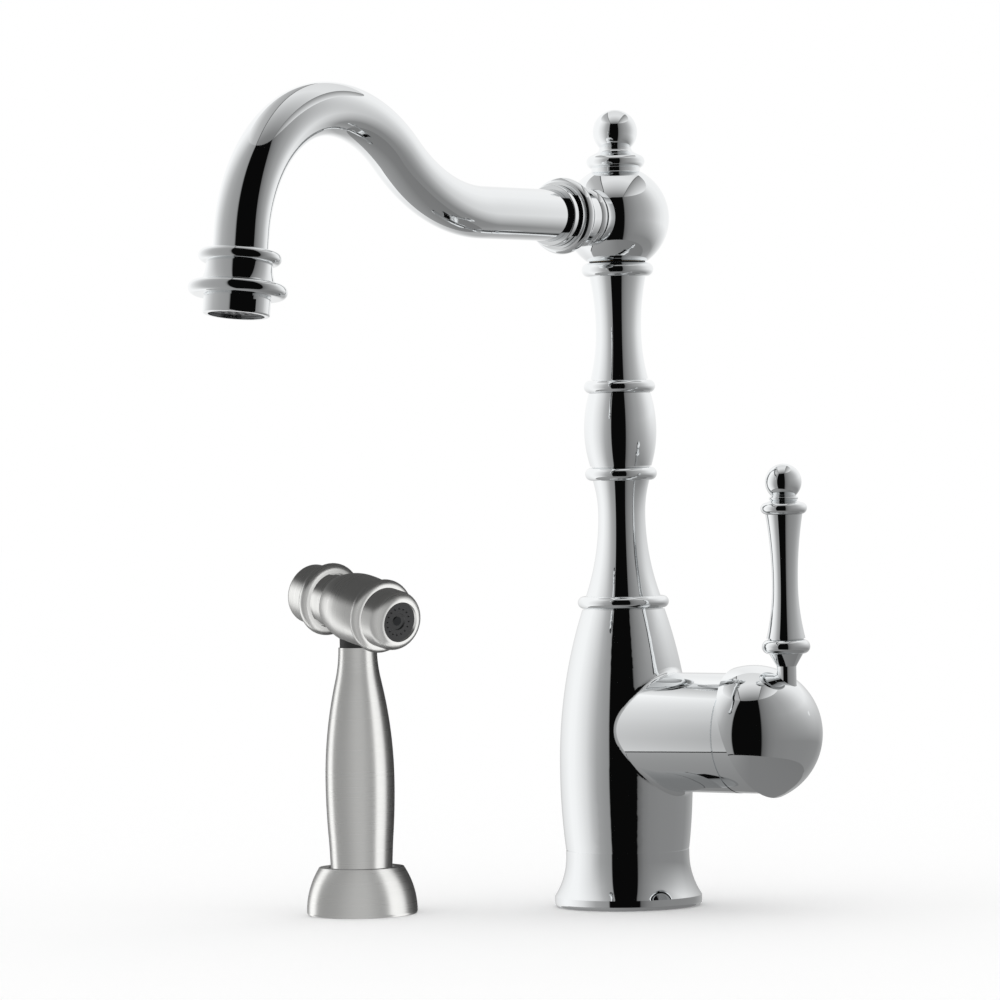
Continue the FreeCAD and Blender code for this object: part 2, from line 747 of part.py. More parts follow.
spout_hub = turned("spout_hub", [
    ("post_r + run_gap", HUB_FOOT),
    ("sqrt(hub_r ^ 2 - hub_drop ^ 2)", HUB_FOOT),
    ("sqrt(hub_r ^ 2 - hub_rise ^ 2)", f"{HUB_Z} + hub_rise", "0", None),
    ("sqrt(hub_r ^ 2 - hub_rise ^ 2)", NECK_TOP),
    ("pocket_r", NECK_TOP),
    ("pocket_r", ROOF_TOP),
    ("holding_screw_r + 4 * seat_gap", ROOF_TOP),
    ("holding_screw_r + 4 * seat_gap", ROOF_Z),
    ("post_r + run_gap", ROOF_Z),
])
padded(spout_hub, "XZ_Plane", [("0", HUB_Z, "boss_r")], "boss_reach - boss_root", lift="boss_root")
TUBE_SEAT = "boss_reach - seat_start"
bored(spout_hub, "XZ_Plane", [("0", HUB_Z, "tube_r + seat_gap")], TUBE_SEAT, lift="boss_reach")
bored(spout_hub, "XZ_Plane", [("0", HUB_Z, "hub_port_r")], "seat_start - post_r / 2", lift="seat_start")

BALL_Z = f"({NECK_TOP} + finial_waist_up + sqrt(finial_ball_r ^ 2 - finial_waist_r ^ 2))"
turned("finial", [
    ("0", f"{NECK_TOP} - finial_shank"),
    ("pocket_r - seat_gap", f"{NECK_TOP} - finial_shank"),
    ("pocket_r - seat_gap", NECK_TOP),
    ("finial_foot_r", NECK_TOP),
    ("finial_collar_r", f"{NECK_TOP} + finial_collar_mid", None, f"{NECK_TOP} + finial_collar_mid"),
    ("finial_collar_top_r", f"{NECK_TOP} + finial_collar_top", None, f"{NECK_TOP} + finial_collar_mid"),
    ("finial_slope_r", f"{NECK_TOP} + finial_slope_top"),
    ("finial_waist_r", f"{NECK_TOP} + finial_waist_up", None, f"{NECK_TOP} + finial_waist_up"),
    ("0", f"{BALL_Z} + finial_ball_r", "0", None),
])

# ---------------------------------------------------------------- spout tube and its collar

TUBE_START = "(seat_start + tube_seal_thick)"
tube_seal = cylinder_ring("tube_seal", "tube_r - 2 * tube_wall", "tube_r - seat_gap", "0", "tube_seal_thick")
seat(tube_seal, along="-seat_start", up=HUB_Z, axis=ALONG_X, angle="90")

COLLAR_NECK_END = "(collar_big_up - seam)"
COLLAR_STEP_UP = "(collar_big_up + collar_big)"
COLLAR_FRONT_UP = "(collar_big_up + collar_big + collar_step)"
spout_collar = turned("spout_collar", [
    ("tube_r + seat_gap", "0"),
    ("boss_r - seam_depth", "0"),
    ("boss_r - seam_depth", "seam"),
    *bead("collar_ring_r", "collar_neck_r", "seam", "collar_ring"),
    ("collar_neck_r", "collar_neck_up"),
    ("collar_root_r", "collar_big_up", None, "collar_neck_up"),
    *ring("collar_big_r", "collar_big_up", "collar_big"),
    ("collar_step_r", COLLAR_STEP_UP),
    ("collar_step_r", COLLAR_FRONT_UP),
    ("collar_front_r - seam_depth", COLLAR_FRONT_UP),
    ("collar_front_r - seam_depth", f"{COLLAR_FRONT_UP} + seam"),
    ("collar_front_r", f"{COLLAR_FRONT_UP} + seam"),
    ("collar_front_r", f"{COLLAR_FRONT_UP} + collar_front - seam"),
    ("collar_front_r - seam", f"{COLLAR_FRONT_UP} + collar_front", "collar_front_r - seam", None),
    ("tube_r + seat_gap", f"{COLLAR_FRONT_UP} + collar_front"),
])
seat(spout_collar, along="-boss_reach", up=HUB_Z, axis=ALONG_X, angle="90")

spout_tube = new_body("spout_tube")
route = new_sketch(spout_tube, "YZ_Plane", "spout_tube_route")
hub_z, start_y, straight_y = value(HUB_Z), -value(TUBE_START), -value("spout_straight")
rise = math.radians(value("spout_rise"))
fall = math.radians(90 - value("outlet_lean"))
rise_centre = V(straight_y, hub_z + value("rise_bend_r"), 0)
rise_end = rise_centre + V(-math.sin(rise), -math.cos(rise), 0) * value("rise_bend_r")
run_end = rise_end + V(-math.cos(rise), math.sin(rise), 0) * value("rise_run")
crest_centre = run_end - V(math.sin(rise), math.cos(rise), 0) * value("crest_bend_r")
crest_top = crest_centre + V(0, value("crest_bend_r"), 0)
drop_centre = crest_top - V(0, value("drop_bend_r"), 0)
drop_end = drop_centre + V(-math.sin(fall), math.cos(fall), 0) * value("drop_bend_r")
outlet_end = drop_end + V(-math.cos(fall), -math.sin(fall), 0) * value("outlet_run")


def bend(centre, first, last):
    """An arc about a centre, counter-clockwise from one point to another."""
    angles = [math.atan2(point.y - centre.y, point.x - centre.x) for point in (first, last)]
    return Part.ArcOfCircle(Part.Circle(centre, V(0, 0, 1), (first - centre).Length), *angles)


STRAIGHT, RISE, RUN, CREST, DROP, OUTLET = range(6)
route.addGeometry([
    Part.LineSegment(V(start_y, hub_z, 0), V(straight_y, hub_z, 0)),
    bend(rise_centre, rise_end, V(straight_y, hub_z, 0)),
    Part.LineSegment(rise_end, run_end),
    bend(crest_centre, run_end, crest_top),
    bend(drop_centre, crest_top, drop_end),
    Part.LineSegment(drop_end, outlet_end),
], False)
hold(route, STRAIGHT, 1, f"-{TUBE_START}", HUB_Z)
route.addConstraint(Sketcher.Constraint("Horizontal", STRAIGHT))
hold(route, STRAIGHT, 2, "-spout_straight", None)
route.addConstraint(Sketcher.Constraint("Tangent", STRAIGHT, 2, RISE, 2))
route.addConstraint(Sketcher.Constraint("Tangent", RISE, 1, RUN, 1))
route.addConstraint(Sketcher.Constraint("Tangent", RUN, 2, CREST, 1))
route.addConstraint(Sketcher.Constraint("Tangent", CREST, 2, DROP, 1))
route.addConstraint(Sketcher.Constraint("Tangent", DROP, 2, OUTLET, 1))
route.addConstraint(Sketcher.Constraint("Vertical", CREST, 3, CREST, 2))
for kind, item, amount in (
    ("Radius", RISE, "rise_bend_r"),
    ("Distance", RUN, "rise_run"),
    ("Radius", CREST, "crest_bend_r"),
    ("Radius", DROP, "drop_bend_r"),
    ("Distance", OUTLET, "outlet_run"),
):
    spot = route.addConstraint(Sketcher.Constraint(kind, item, value(amount)))
    route.setExpression(f"Constraints[{spot}]", bound(amount))
for item, formula in ((RUN, "180 - spout_rise"), (OUTLET, "-90 - outlet_lean")):
    spot = route.addConstraint(Sketcher.Constraint("Angle", item, math.radians(value(formula))))
    route.setExpression(f"Constraints[{spot}]", bound(formula))
section = new_sketch(spout_tube, "XZ_Plane", "spout_tube_section", lift=TUBE_START)
draw_circles(section, [("0", HUB_Z, "tube_r"), ("0", HUB_Z, "tube_r - tube_wall")])
pipe = spout_tube.newObject("PartDesign::AdditivePipe", "spout_tube_pipe")
pipe.Profile = section
pipe.Spine = (route, [])

# ---------------------------------------------------------------- outlet, along its own leaning axis

OUTLET_Y = ("(spout_straight + (rise_bend_r + crest_bend_r) * sin(spout_rise) + rise_run * cos(spout_rise)"
            " + drop_bend_r * cos(outlet_lean) + (outlet_run - outlet_engage) * sin(outlet_lean))")
OUTLET_Z = (f"({HUB_Z} + (rise_bend_r + crest_bend_r) * (1 - cos(spout_rise)) + rise_run * sin(spout_rise)"
            " - drop_bend_r * (1 - sin(outlet_lean)) - (outlet_run - outlet_engage) * cos(outlet_lean))")


def seat_outlet(body):
    seat(body, along=f"-{OUTLET_Y}", up=OUTLET_Z, axis=ALONG_X, angle="180 - outlet_lean")
    return body


OUTLET_FACE = "(outlet_neck_end + outlet_low_ring)"
seat_outlet(turned("outlet_collar", [
    ("tube_r + seat_gap", "0"),
    *ring("outlet_top_ring_r", "0", "outlet_top_ring"),
    ("outlet_neck_r", "outlet_top_ring"),
    ("outlet_neck_r", "outlet_top_ring + seam"),
    ("outlet_neck_foot_r", "outlet_neck_end", None, "outlet_top_ring + seam"),
    *ring("outlet_low_ring_r", "outlet_neck_end", "outlet_low_ring"),
    ("aerator_thread_r", OUTLET_FACE),
    ("aerator_thread_r", "outlet_engage"),
    ("tube_r + seat_gap", "outlet_engage"),
]))
SEAL_END = "(outlet_engage + aerator_seal)"
SEAL_R = "aerator_thread_r - seat_gap"
seat_outlet(cylinder_ring("aerator_washer", "aerator_seal_bore_r", SEAL_R, "outlet_engage", SEAL_END))
AERATOR_END = f"({OUTLET_FACE} + aerator_show)"
housing = seat_outlet(turned("aerator_housing", [
    ("aerator_seal_bore_r", SEAL_END),
    ("aerator_thread_r - seat_gap", SEAL_END),
    ("aerator_thread_r - seat_gap", f"{OUTLET_FACE} + seam"),
    ("aerator_r", f"{OUTLET_FACE} + seam"),
    ("aerator_r", f"{AERATOR_END} - aerator_edge"),
    ("aerator_r - aerator_edge", AERATOR_END, "aerator_r - aerator_edge", None),
    ("aerator_bore_r", AERATOR_END),
    ("aerator_bore_r", f"{SEAL_END} + aerator_lip"),
    ("aerator_seal_bore_r", f"{SEAL_END} + aerator_lip"),
]))
for name, turned_by in (("near", "aerator_flat_turn"), ("far", "aerator_flat_turn + 180")):
    flat = new_sketch(housing, "XY_Plane", f"aerator_flat_{name}", AERATOR_END, ("z", turned_by))
    draw_outline(flat, [("aerator_flat", "-aerator_r"), ("2 * aerator_flat", "-aerator_r"),
                        ("2 * aerator_flat", "aerator_r"), ("aerator_flat", "aerator_r")])
    cut_away(housing, flat, "aerator_flat_long")
INSERT_END = f"({AERATOR_END} - aerator_recess)"
SCREEN_UP = f"({INSERT_END} - screen_thick)"
seat_outlet(turned("aerator_insert", [
    ("aerator_seal_bore_r", f"{SEAL_END} + aerator_lip"),
    ("aerator_bore_r - seat_gap", f"{SEAL_END} + aerator_lip"),
    ("aerator_bore_r - seat_gap", INSERT_END),
    ("screen_r", INSERT_END),
    ("screen_r", SCREEN_UP),
    ("aerator_seal_bore_r", SCREEN_UP),
]))
screen = seat_outlet(turned("aerator_screen", [
    ("0", SCREEN_UP),
    ("screen_r - seat_gap", SCREEN_UP),
    ("screen_r - seat_gap", INSERT_END),
    ("0", INSERT_END),
]))
bored(screen, "XY_Plane", [("0", "0", "screen_hole_r")], "screen_thick", lift=INSERT_END)


def hole_circle(body, name, ring_r, hole_r, count, depth, lift):
    """Drills one hole and repeats it round the body's axis."""
    first = bored(body, "XY_Plane", [(ring_r, "0", hole_r)], depth, lift=lift)
    pattern = body.newObject("PartDesign::PolarPattern", name)
    pattern.Originals = [first]
    pattern.Axis = (first.Profile[0], ["N_Axis"])
    pattern.Angle = 360
    pattern.setExpression("Occurrences", bound(count))
    body.Tip = pattern
    doc.recompute()


for name, ring_r, count in (
    ("screen_inner_holes", "screen_ring_r / 2", "screen_holes / 2"),
    ("screen_outer_holes", "screen_ring_r", "screen_holes"),
):
    hole_circle(screen, name, ring_r, "screen_hole_r", count, "screen_thick", INSERT_END)

# ---------------------------------------------------------------- cartridge, along the branch


def seat_valve(body, at="0"):
    """Lays a turned piece along the branch, its own zero at a distance from the column."""
    seat(body, across=at, up="valve_z", axis=ALONG_Y, angle="90")
    return body


FIXED_DISC_X = f"({CHAMBER_X} + cartridge_base)"
MOVING_DISC_X = f"({CHAMBER_X} + cartridge_base + disc_thick)"
SHOULDER_IN = f"({SHOULDER_X} - shoulder_thick)"
seat_valve(turned("cartridge_housing", [
    ("cartridge_r - cartridge_wall", CHAMBER_X),
    ("cartridge_r", CHAMBER_X),
    ("cartridge_r", SHOULDER_X),
    ("cartridge_neck_r", SHOULDER_X),
    ("cartridge_neck_r", NOSE_END),
    ("carrier_r + run_gap", NOSE_END),
    ("carrier_r + run_gap", SHOULDER_IN),
    ("cartridge_r - cartridge_wall", SHOULDER_IN),
]))
base = seat_valve(turned("cartridge_base", [
    ("0", CHAMBER_X),
    ("cartridge_r - cartridge_wall - seat_gap", CHAMBER_X),
    ("cartridge_r - cartridge_wall - seat_gap", FIXED_DISC_X),
    ("0", FIXED_DISC_X),
]))
fixed_disc = seat_valve(turned("fixed_disc", [
    ("0", FIXED_DISC_X),
    ("disc_r", FIXED_DISC_X),
    ("disc_r", MOVING_DISC_X),
    ("0", MOVING_DISC_X),
]))
# In a piece laid along the branch, the piece's own -X points up.
water_ways = [
    ("port_drop", "inlet_y", "port_r"),
    ("port_drop", "-inlet_y", "port_r"),
    ("-mix_rise", "0", "port_r"),
]
bored(base, "XY_Plane", water_ways, "cartridge_base", lift=FIXED_DISC_X)
bored(fixed_disc, "XY_Plane", water_ways, "disc_thick", lift=MOVING_DISC_X)
moving_disc = turned("moving_disc", [
    ("0", "face_gap / 2"),
    ("moving_disc_r", "face_gap / 2"),
    ("moving_disc_r", "moving_disc_thick"),
    ("0", "moving_disc_thick"),
])
TAIL_SOCKET = [("0", "0", "tail_ball_r + 2 * run_gap")]
bored(moving_disc, "XY_Plane", TAIL_SOCKET, "moving_disc_slot", lift="moving_disc_thick")
seat(moving_disc, across=MOVING_DISC_X, up="valve_z - tail_reach * sin(dome_lean)", axis=ALONG_Y, angle="90")
seat_valve(turned("cartridge_nut", [
    ("cartridge_neck_r + seat_gap", SHOULDER_X),
    ("nut_bore_r - seat_gap", SHOULDER_X),
    ("nut_bore_r - seat_gap", f"{SHOULDER_X} + nut_length"),
    ("cartridge_neck_r + seat_gap", f"{SHOULDER_X} + nut_length"),
]))

CARRIER_FOOT = f"({SHOULDER_IN} - face_gap - carrier_foot)"
carrier = seat_valve(turned("cartridge_carrier", [
    ("carrier_ring_r", CARRIER_FOOT),
    ("carrier_foot_r", CARRIER_FOOT),
    ("carrier_foot_r", f"{CARRIER_FOOT} + carrier_foot"),
    ("carrier_r", f"{CARRIER_FOOT} + carrier_foot"),
    ("carrier_r", CARRIER_END),
    ("0", CARRIER_END),
    ("0", f"{CARRIER_FOOT} + carrier_foot"),
    ("carrier_ring_r", f"{CARRIER_FOOT} + carrier_foot"),
]))
fork = new_sketch(carrier, "XY_Plane", "carrier_fork_slot", lift=CARRIER_END)
slot_outline = [("-2 * carrier_r", "-fork_slot / 2"), ("2 * carrier_r", "-fork_slot / 2"),
                ("2 * carrier_r", "fork_slot / 2"), ("-2 * carrier_r", "fork_slot / 2")]
draw_outline(fork, slot_outline)
cut_away(carrier, fork, f"{CARRIER_END} - {CARRIER_FOOT} - carrier_foot")
bored(carrier, "XZ_Plane", [("0", PIVOT_X, "pin_r + seat_gap")], "4 * carrier_r", lift="2 * carrier_r")
pivot_pin = turned("pivot_pin", [
    ("0", "-carrier_r + 1.5 * pin_r"),
    ("pin_r", "-carrier_r + 1.5 * pin_r"),
    ("pin_r", "carrier_r - 1.5 * pin_r"),
    ("0", "carrier_r - 1.5 * pin_r"),
])
seat(pivot_pin, across=PIVOT_X, up="valve_z", axis=ALONG_X, angle="90")


def seat_handle(body):
    """Puts a turned piece on the pivot, its own Z leaning up from the branch's direction."""
    seat(body, across=PIVOT_X, up="valve_z", axis=ALONG_Y, angle="90 - dome_lean")
    return body


stem = seat_handle(turned("cartridge_stem", [
    ("0", "-tail_reach - tail_ball_r"),
    ("tail_r", "-tail_reach + sqrt(tail_ball_r ^ 2 - tail_r ^ 2)", "0", None),
    ("tail_r", "-sqrt(eye_r ^ 2 - tail_r ^ 2)"),
    ("stem_r", "sqrt(eye_r ^ 2 - stem_r ^ 2)", "0", None),
    ("stem_r", "stem_reach"),
    ("0", "stem_reach"),
]))
bored(stem, "XZ_Plane", [("0", "0", "pin_r + run_gap")], "4 * eye_r", lift="2 * eye_r")

# ---------------------------------------------------------------- bonnet and dome handle

BALL_CENTRE = "pivot_out"
INNER_BALL_R = "(bonnet_ball_r - bonnet_wall)"
INNER_R = "(nose_r + seat_gap)"
INNER_CUT = "(bonnet_cut - bonnet_wall)"
seat_valve(turned("bonnet", [
    (INNER_R, "0"),
    ("bonnet_r - seam_depth", "0"),
    ("bonnet_r - seam_depth", "seam"),
    ("bonnet_r", "seam"),
    ("bonnet_r", f"{BALL_CENTRE} + sqrt(bonnet_ball_r ^ 2 - bonnet_r ^ 2)"),
    ("sqrt(bonnet_ball_r ^ 2 - bonnet_cut ^ 2)", f"{BALL_CENTRE} + bonnet_cut", "0", None),
    ("bonnet_mouth_r", f"{BALL_CENTRE} + bonnet_cut"),
    ("bonnet_mouth_r", f"{BALL_CENTRE} + {INNER_CUT}"),
    (f"sqrt({INNER_BALL_R} ^ 2 - {INNER_CUT} ^ 2)", f"{BALL_CENTRE} + {INNER_CUT}"),
    (INNER_R, f"{BALL_CENTRE} + sqrt({INNER_BALL_R} ^ 2 - {INNER_R} ^ 2)", "0", None),
]), at="branch_length")

DOME_IN_R = "(dome_r - dome_wall)"
dome = turned("handle_dome", [
    (f"sqrt({DOME_IN_R} ^ 2 - dome_rim ^ 2)", "dome_rim", "0", None),
    ("sqrt(dome_r ^ 2 - dome_rim ^ 2)", "dome_rim"),
    ("0", "dome_r", "0", None),
    ("0", "dome_stem_end"),
    ("stem_r + seat_gap", "dome_stem_end"),
    ("stem_r + seat_gap", "dome_hub_foot"),
    ("dome_hub_r", "dome_hub_foot"),
    ("dome_hub_r", "dome_solid"),
    (f"sqrt({DOME_IN_R} ^ 2 - dome_solid ^ 2)", "dome_solid"),
])
# The lever stands upright while the dome leans, so its socket is drilled straight up.
socket = [("lever_x", "0", "lever_stem_r + seat_gap")]
bored(dome, "XY_Plane", socket, "dome_r", "lever_foot", True, ("y", "dome_lean - 90"))
bored(dome, "XZ_Plane", [("0", "grub_up", "grub_r + seat_gap")], "dome_r - stem_r", "-dome_r", True)
seat_handle(dome)
grub = cylinder_ring("handle_grub_screw", "grub_r / 2", "grub_r", "0", "grub_length")
seat(
    grub,
    across=f"{PIVOT_X} + grub_up * cos(dome_lean)",
    along="stem_r + 2 * seat_gap",
    up="valve_z + grub_up * sin(dome_lean)",
    axis=ALONG_X,
    angle="-90",
)

# ---------------------------------------------------------------- lever, upright beyond the pivot


def seat_lever(body):
    seat(body, across=f"{PIVOT_X} + lever_x", up="valve_z")
    return body


GRIP_FOOT = "(lever_cone_top + lever_ring)"
GRIP_TOP = f"({GRIP_FOOT} + grip_height)"
CUP_FOOT = f"({GRIP_TOP} + grip_collar + grip_collar_edge)"
CUP_TOP = f"({CUP_FOOT} + grip_cup)"
seat_lever(turned("lever_stem", [
    ("0", "lever_foot + face_gap"),
    ("lever_stem_r", "lever_foot + face_gap"),
    ("lever_stem_r", "lever_cone_foot"),
    ("lever_cone_top_r", "lever_cone_top"),
    *ring("lever_ring_r", "lever_cone_top", "lever_ring"),
    ("lever_stud_r", GRIP_FOOT),
    ("lever_stud_r", f"{GRIP_FOOT} + lever_stud"),
    ("0", f"{GRIP_FOOT} + lever_stud"),
]))
seat_lever(turned("lever_grip", [
    ("lever_stud_r + seat_gap", GRIP_FOOT),
    ("grip_foot_r - seam_depth", GRIP_FOOT),
    ("grip_foot_r - seam_depth", f"{GRIP_FOOT} + seam"),
    ("grip_foot_r", f"{GRIP_FOOT} + seam"),
    ("grip_waist_r", f"{GRIP_FOOT} + grip_waist_up", None, f"{GRIP_FOOT} + grip_waist_up"),
    ("grip_top_r", GRIP_TOP, None, f"{GRIP_FOOT} + grip_waist_up"),
    *ring("grip_collar_r", GRIP_TOP, "grip_collar"),
    ("grip_cup_r - grip_cup / 2", CUP_FOOT),
    ("grip_cup_r - grip_cup / 2", CUP_TOP, "grip_cup_r - grip_cup / 2", None),
    ("lever_stud_r + seat_gap", CUP_TOP),
    ("lever_stud_r + seat_gap", f"{CUP_TOP} - knob_stud - face_gap"),
    ("0", f"{CUP_TOP} - knob_stud - face_gap"),
    ("0", f"{GRIP_FOOT} + lever_stud + face_gap"),
    ("lever_stud_r + seat_gap", f"{GRIP_FOOT} + lever_stud + face_gap"),
]))
seat_lever(turned("lever_knob", [
    ("0", f"{CUP_TOP} - knob_stud"),
    ("lever_stud_r", f"{CUP_TOP} - knob_stud"),
    ("lever_stud_r", CUP_TOP),
    ("knob_neck_r", CUP_TOP),
    ("knob_neck_r", f"{CUP_TOP} + knob_neck"),
    ("0", f"{CUP_TOP} + knob_neck + sqrt(knob_r ^ 2 - knob_neck_r ^ 2) + knob_r", "0", None),
]))

# ---------------------------------------------------------------- spray holder


def seat_spray(body):
    seat(body, across="spray_x", along="spray_y")
    return body


seat_spray(turned("holder_flange", [
    ("holder_hose_r", "0"),
    ("holder_seal_in_r", "0"),
    ("holder_seal_in_r", "gasket_thick"),
    ("holder_seal_out_r", "gasket_thick"),
    ("holder_seal_out_r", "0"),
    ("holder_foot_r - holder_edge", "0"),
    ("holder_foot_r", "holder_edge", "holder_foot_r - holder_edge", None),
    ("holder_top_r", "holder_height", None, "holder_edge"),
    ("holder_bore_r", "holder_height"),
    ("holder_bore_r", "holder_floor"),
    ("holder_hose_r", "holder_floor"),
]))
HOLDER_SEAL = ("holder_seal_in_r + seat_gap", "holder_seal_out_r - seat_gap")
seat_spray(cylinder_ring("holder_gasket", *HOLDER_SEAL, "0", "gasket_thick"))
BUSH_FLOOR = "(holder_floor + bush_floor)"
seat_spray(turned("holder_bush", [
    ("holder_hose_r", "holder_floor"),
    ("holder_bore_r - seat_gap", "holder_floor"),
    ("holder_bore_r - seat_gap", "holder_floor + bush_height"),
    ("holder_bore_r - seat_gap - bush_wall", "holder_floor + bush_height"),
    ("holder_bore_r - seat_gap - bush_wall", BUSH_FLOOR),
    ("holder_hose_r", BUSH_FLOOR),
]))

# ---------------------------------------------------------------- spray handle and hose end

SPRAY_FOOT = f"({BUSH_FLOOR} + face_gap)"
TURN_SHARE = "(spray_turnback - spray_belly) / (spray_neck - spray_belly)"
TURN_R = f"(spray_belly_r - (spray_belly_r - spray_neck_r) * {TURN_SHARE})"
THREAD_FOOT = "(spray_neck - neck_thread - face_gap)"
seat_spray(turned("spray_handle", [
    ("spray_cavity_r", SPRAY_FOOT),
    ("spray_foot_r", SPRAY_FOOT),
    ("spray_low_r", "spray_low"),
    ("spray_belly_foot_r", "spray_belly_foot"),
    ("spray_belly_r", "spray_belly", None, "spray_belly"),
    (TURN_R, "spray_turnback", None, "spray_belly"),
    ("spray_neck_r", "spray_neck", None, "spray_neck"),
    ("neck_r + seat_gap", "spray_neck"),
    ("neck_r + seat_gap", THREAD_FOOT),
    ("spray_bore_r", THREAD_FOOT),
    ("spray_bore_r", "spray_cavity_top"),
    ("spray_cavity_r", "spray_cavity_top"),
]))
NUT_TOP = "(spray_cavity_top - face_gap)"
NUT_FOOT = f"({NUT_TOP} - hose_nut)"
NUT_STEP = f"({NUT_FOOT} + hose_thread)"
seat_spray(turned("hose_nut", [
    ("hose_thread_r", NUT_FOOT),
    ("hose_nut_r", NUT_FOOT),
    ("hose_nut_r", NUT_TOP),
    ("hose_bore_r", NUT_TOP),
    ("hose_bore_r", NUT_STEP),
    ("hose_thread_r", NUT_STEP),
]))
CLIP_TOP = f"({NUT_FOOT} - face_gap)"
CLIP_SPAN = ("hose_nut_r - 3 * clip_thick", "spray_cavity_r - seat_gap / 2")
seat_spray(cylinder_ring("hose_clip", *CLIP_SPAN, f"{CLIP_TOP} - clip_thick", CLIP_TOP))

# ---------------------------------------------------------------- spray head, along its own nose-down axis


def seat_head(body):
    seat(body, "spray_x", "spray_y", "head_z", ALONG_Y, "90 + head_tilt", "head_yaw")
    return body


spray_head = turned("spray_head", [
    ("spring_pocket_r", "-head_guide_back"),
    ("button_r - button_cap_wall - run_gap", "-head_guide_back"),
    ("button_r - button_cap_wall - run_gap", "-head_neck_back"),
    ("head_neck_r", "-head_neck_back"),
    ("head_neck_r", "-head_seam_back"),
    ("head_barrel_foot_r", "-head_seam_back"),
    ("head_barrel_r", "head_barrel_mid", None, "head_barrel_mid"),
    ("head_barrel_end_r", "head_barrel_end", None, "head_barrel_mid"),
    ("head_thread_r", "head_barrel_end"),
    ("head_thread_r", "head_thread_end"),
    ("head_chamber_r", "head_thread_end"),
    ("head_chamber_r", "-head_wall_front"),
    ("plunger_r + run_gap", "-head_wall_front"),
    ("plunger_r + run_gap", "-head_wall_back"),
    ("spring_pocket_r", "-head_wall_back"),
])
STRAIGHT_DOWN = ("x", "-head_tilt")
GASKET_TOP = "(head_z - spray_neck - neck_gasket)"
gasket_seat = [("0", "0", "neck_gasket_r + seat_gap")]
bored(spray_head, "YZ_Plane", gasket_seat, "neck_gasket + neck_root", GASKET_TOP, True, STRAIGHT_DOWN)
STUB_END = "(head_z - spray_neck + neck_thread)"
padded(spray_head, "YZ_Plane", [("0", "0", "neck_r")], f"{STUB_END} - neck_root", "neck_root", STRAIGHT_DOWN)
doc.recompute()
bored(spray_head, "YZ_Plane", [("0", "0", "neck_bore_r")], STUB_END, STUB_END, False, STRAIGHT_DOWN)
seat_head(spray_head)
NECK_SEAL = ("neck_r + seat_gap", "neck_gasket_r")
seat_spray(cylinder_ring("neck_gasket", *NECK_SEAL, "spray_neck", "spray_neck + neck_gasket"))

FACE_FRONT = "(nozzle_end - spray_face_recess)"
FACE_BACK = f"({FACE_FRONT} - spray_face_thick)"
seat_head(turned("nozzle_cap", [
    ("head_thread_r + seat_gap", "head_barrel_end"),
    ("head_barrel_end_r - seam_depth", "head_barrel_end"),
    ("head_barrel_end_r - seam_depth", "head_barrel_end + seam"),
    *ring("front_ring_r", "head_barrel_end + seam", "front_ring"),
    ("nozzle_r", "head_barrel_end + seam + front_ring"),
    ("nozzle_r", "nozzle_side"),
    ("nozzle_lip_r", "nozzle_end", None, "nozzle_side"),
    ("nozzle_mouth_r", "nozzle_end"),
    ("nozzle_mouth_r", FACE_BACK),
    ("head_thread_r + seat_gap", FACE_BACK),
]))
spray_face = turned("spray_face", [
    ("spray_pin_r + seat_gap", f"{FACE_BACK} - seat_gap"),
    ("head_chamber_r", f"{FACE_BACK} - seat_gap"),
    ("head_chamber_r", "head_thread_end + seat_gap"),
    ("head_thread_r - seat_gap", "head_thread_end + seat_gap"),
    ("head_thread_r - seat_gap", f"{FACE_BACK} - seat_gap"),
    ("nozzle_mouth_r - seat_gap", f"{FACE_BACK} - seat_gap"),
    ("nozzle_mouth_r - seat_gap", FACE_FRONT),
    ("spray_recess_r", FACE_FRONT),
    ("spray_recess_r", f"{FACE_FRONT} - spray_recess"),
    ("spray_pin_r + seat_gap", f"{FACE_FRONT} - spray_recess"),
])
JET_HOLES = ("spray_hole_ring", "spray_hole_ring_r", "spray_hole_r", "spray_holes")
hole_circle(spray_face, *JET_HOLES, "2 * spray_face_thick", FACE_FRONT)
seat_head(spray_face)
PIN_FRONT = f"({FACE_FRONT} - seam)"
seat_head(turned("spray_pin", [
    ("0", "spray_pin_back"),
    ("spray_pin_r", "spray_pin_back"),
    ("spray_pin_r", PIN_FRONT),
    ("0", PIN_FRONT),
]))

# ---------------------------------------------------------------- push button

CAP_INSIDE = "(-button_end + button_cap_wall)"
SKIRT_R = "(head_neck_r + button_skirt_gap)"
RING_FRONT = "(-button_side_end + button_ring)"
PLUNGER_NECK = "(plunger_front - plunger_head)"
seat_head(turned("button_cap", [
    ("0", "-button_end"),
    ("button_r - button_edge", "-button_end"),
    ("button_r", "-button_end + button_edge", "button_r - button_edge", None),
    ("button_r", "-button_side_end"),
    *ring("button_ring_r", "-button_side_end", "button_ring"),
    (SKIRT_R, RING_FRONT),
    (SKIRT_R, "-button_side_end - face_gap"),
    ("button_r - button_cap_wall", "-button_side_end - face_gap"),
    ("button_r - button_cap_wall", CAP_INSIDE),
    ("plunger_r + seat_gap", CAP_INSIDE),
    ("plunger_r + seat_gap", "-button_end + button_cap_wall / 2"),
    ("0", "-button_end + button_cap_wall / 2"),
]))
seat_head(turned("button_plunger", [
    ("0", "-button_end + button_cap_wall / 2"),
    ("plunger_r", "-button_end + button_cap_wall / 2"),
    ("plunger_r", PLUNGER_NECK),
    ("plunger_head_r", PLUNGER_NECK),
    ("plunger_head_r", "plunger_front"),
    ("0", "plunger_front"),
]))
SEAL_R = "(plunger_r + 2 * plunger_seal_cord)"
seat_head(o_ring("plunger_seal", SEAL_R, "plunger_seal_cord", f"{PLUNGER_NECK} - plunger_seal_cord / 2"))
spring = new_body("button_spring")
wire = new_sketch(spring, "XZ_Plane", "button_spring_wire")
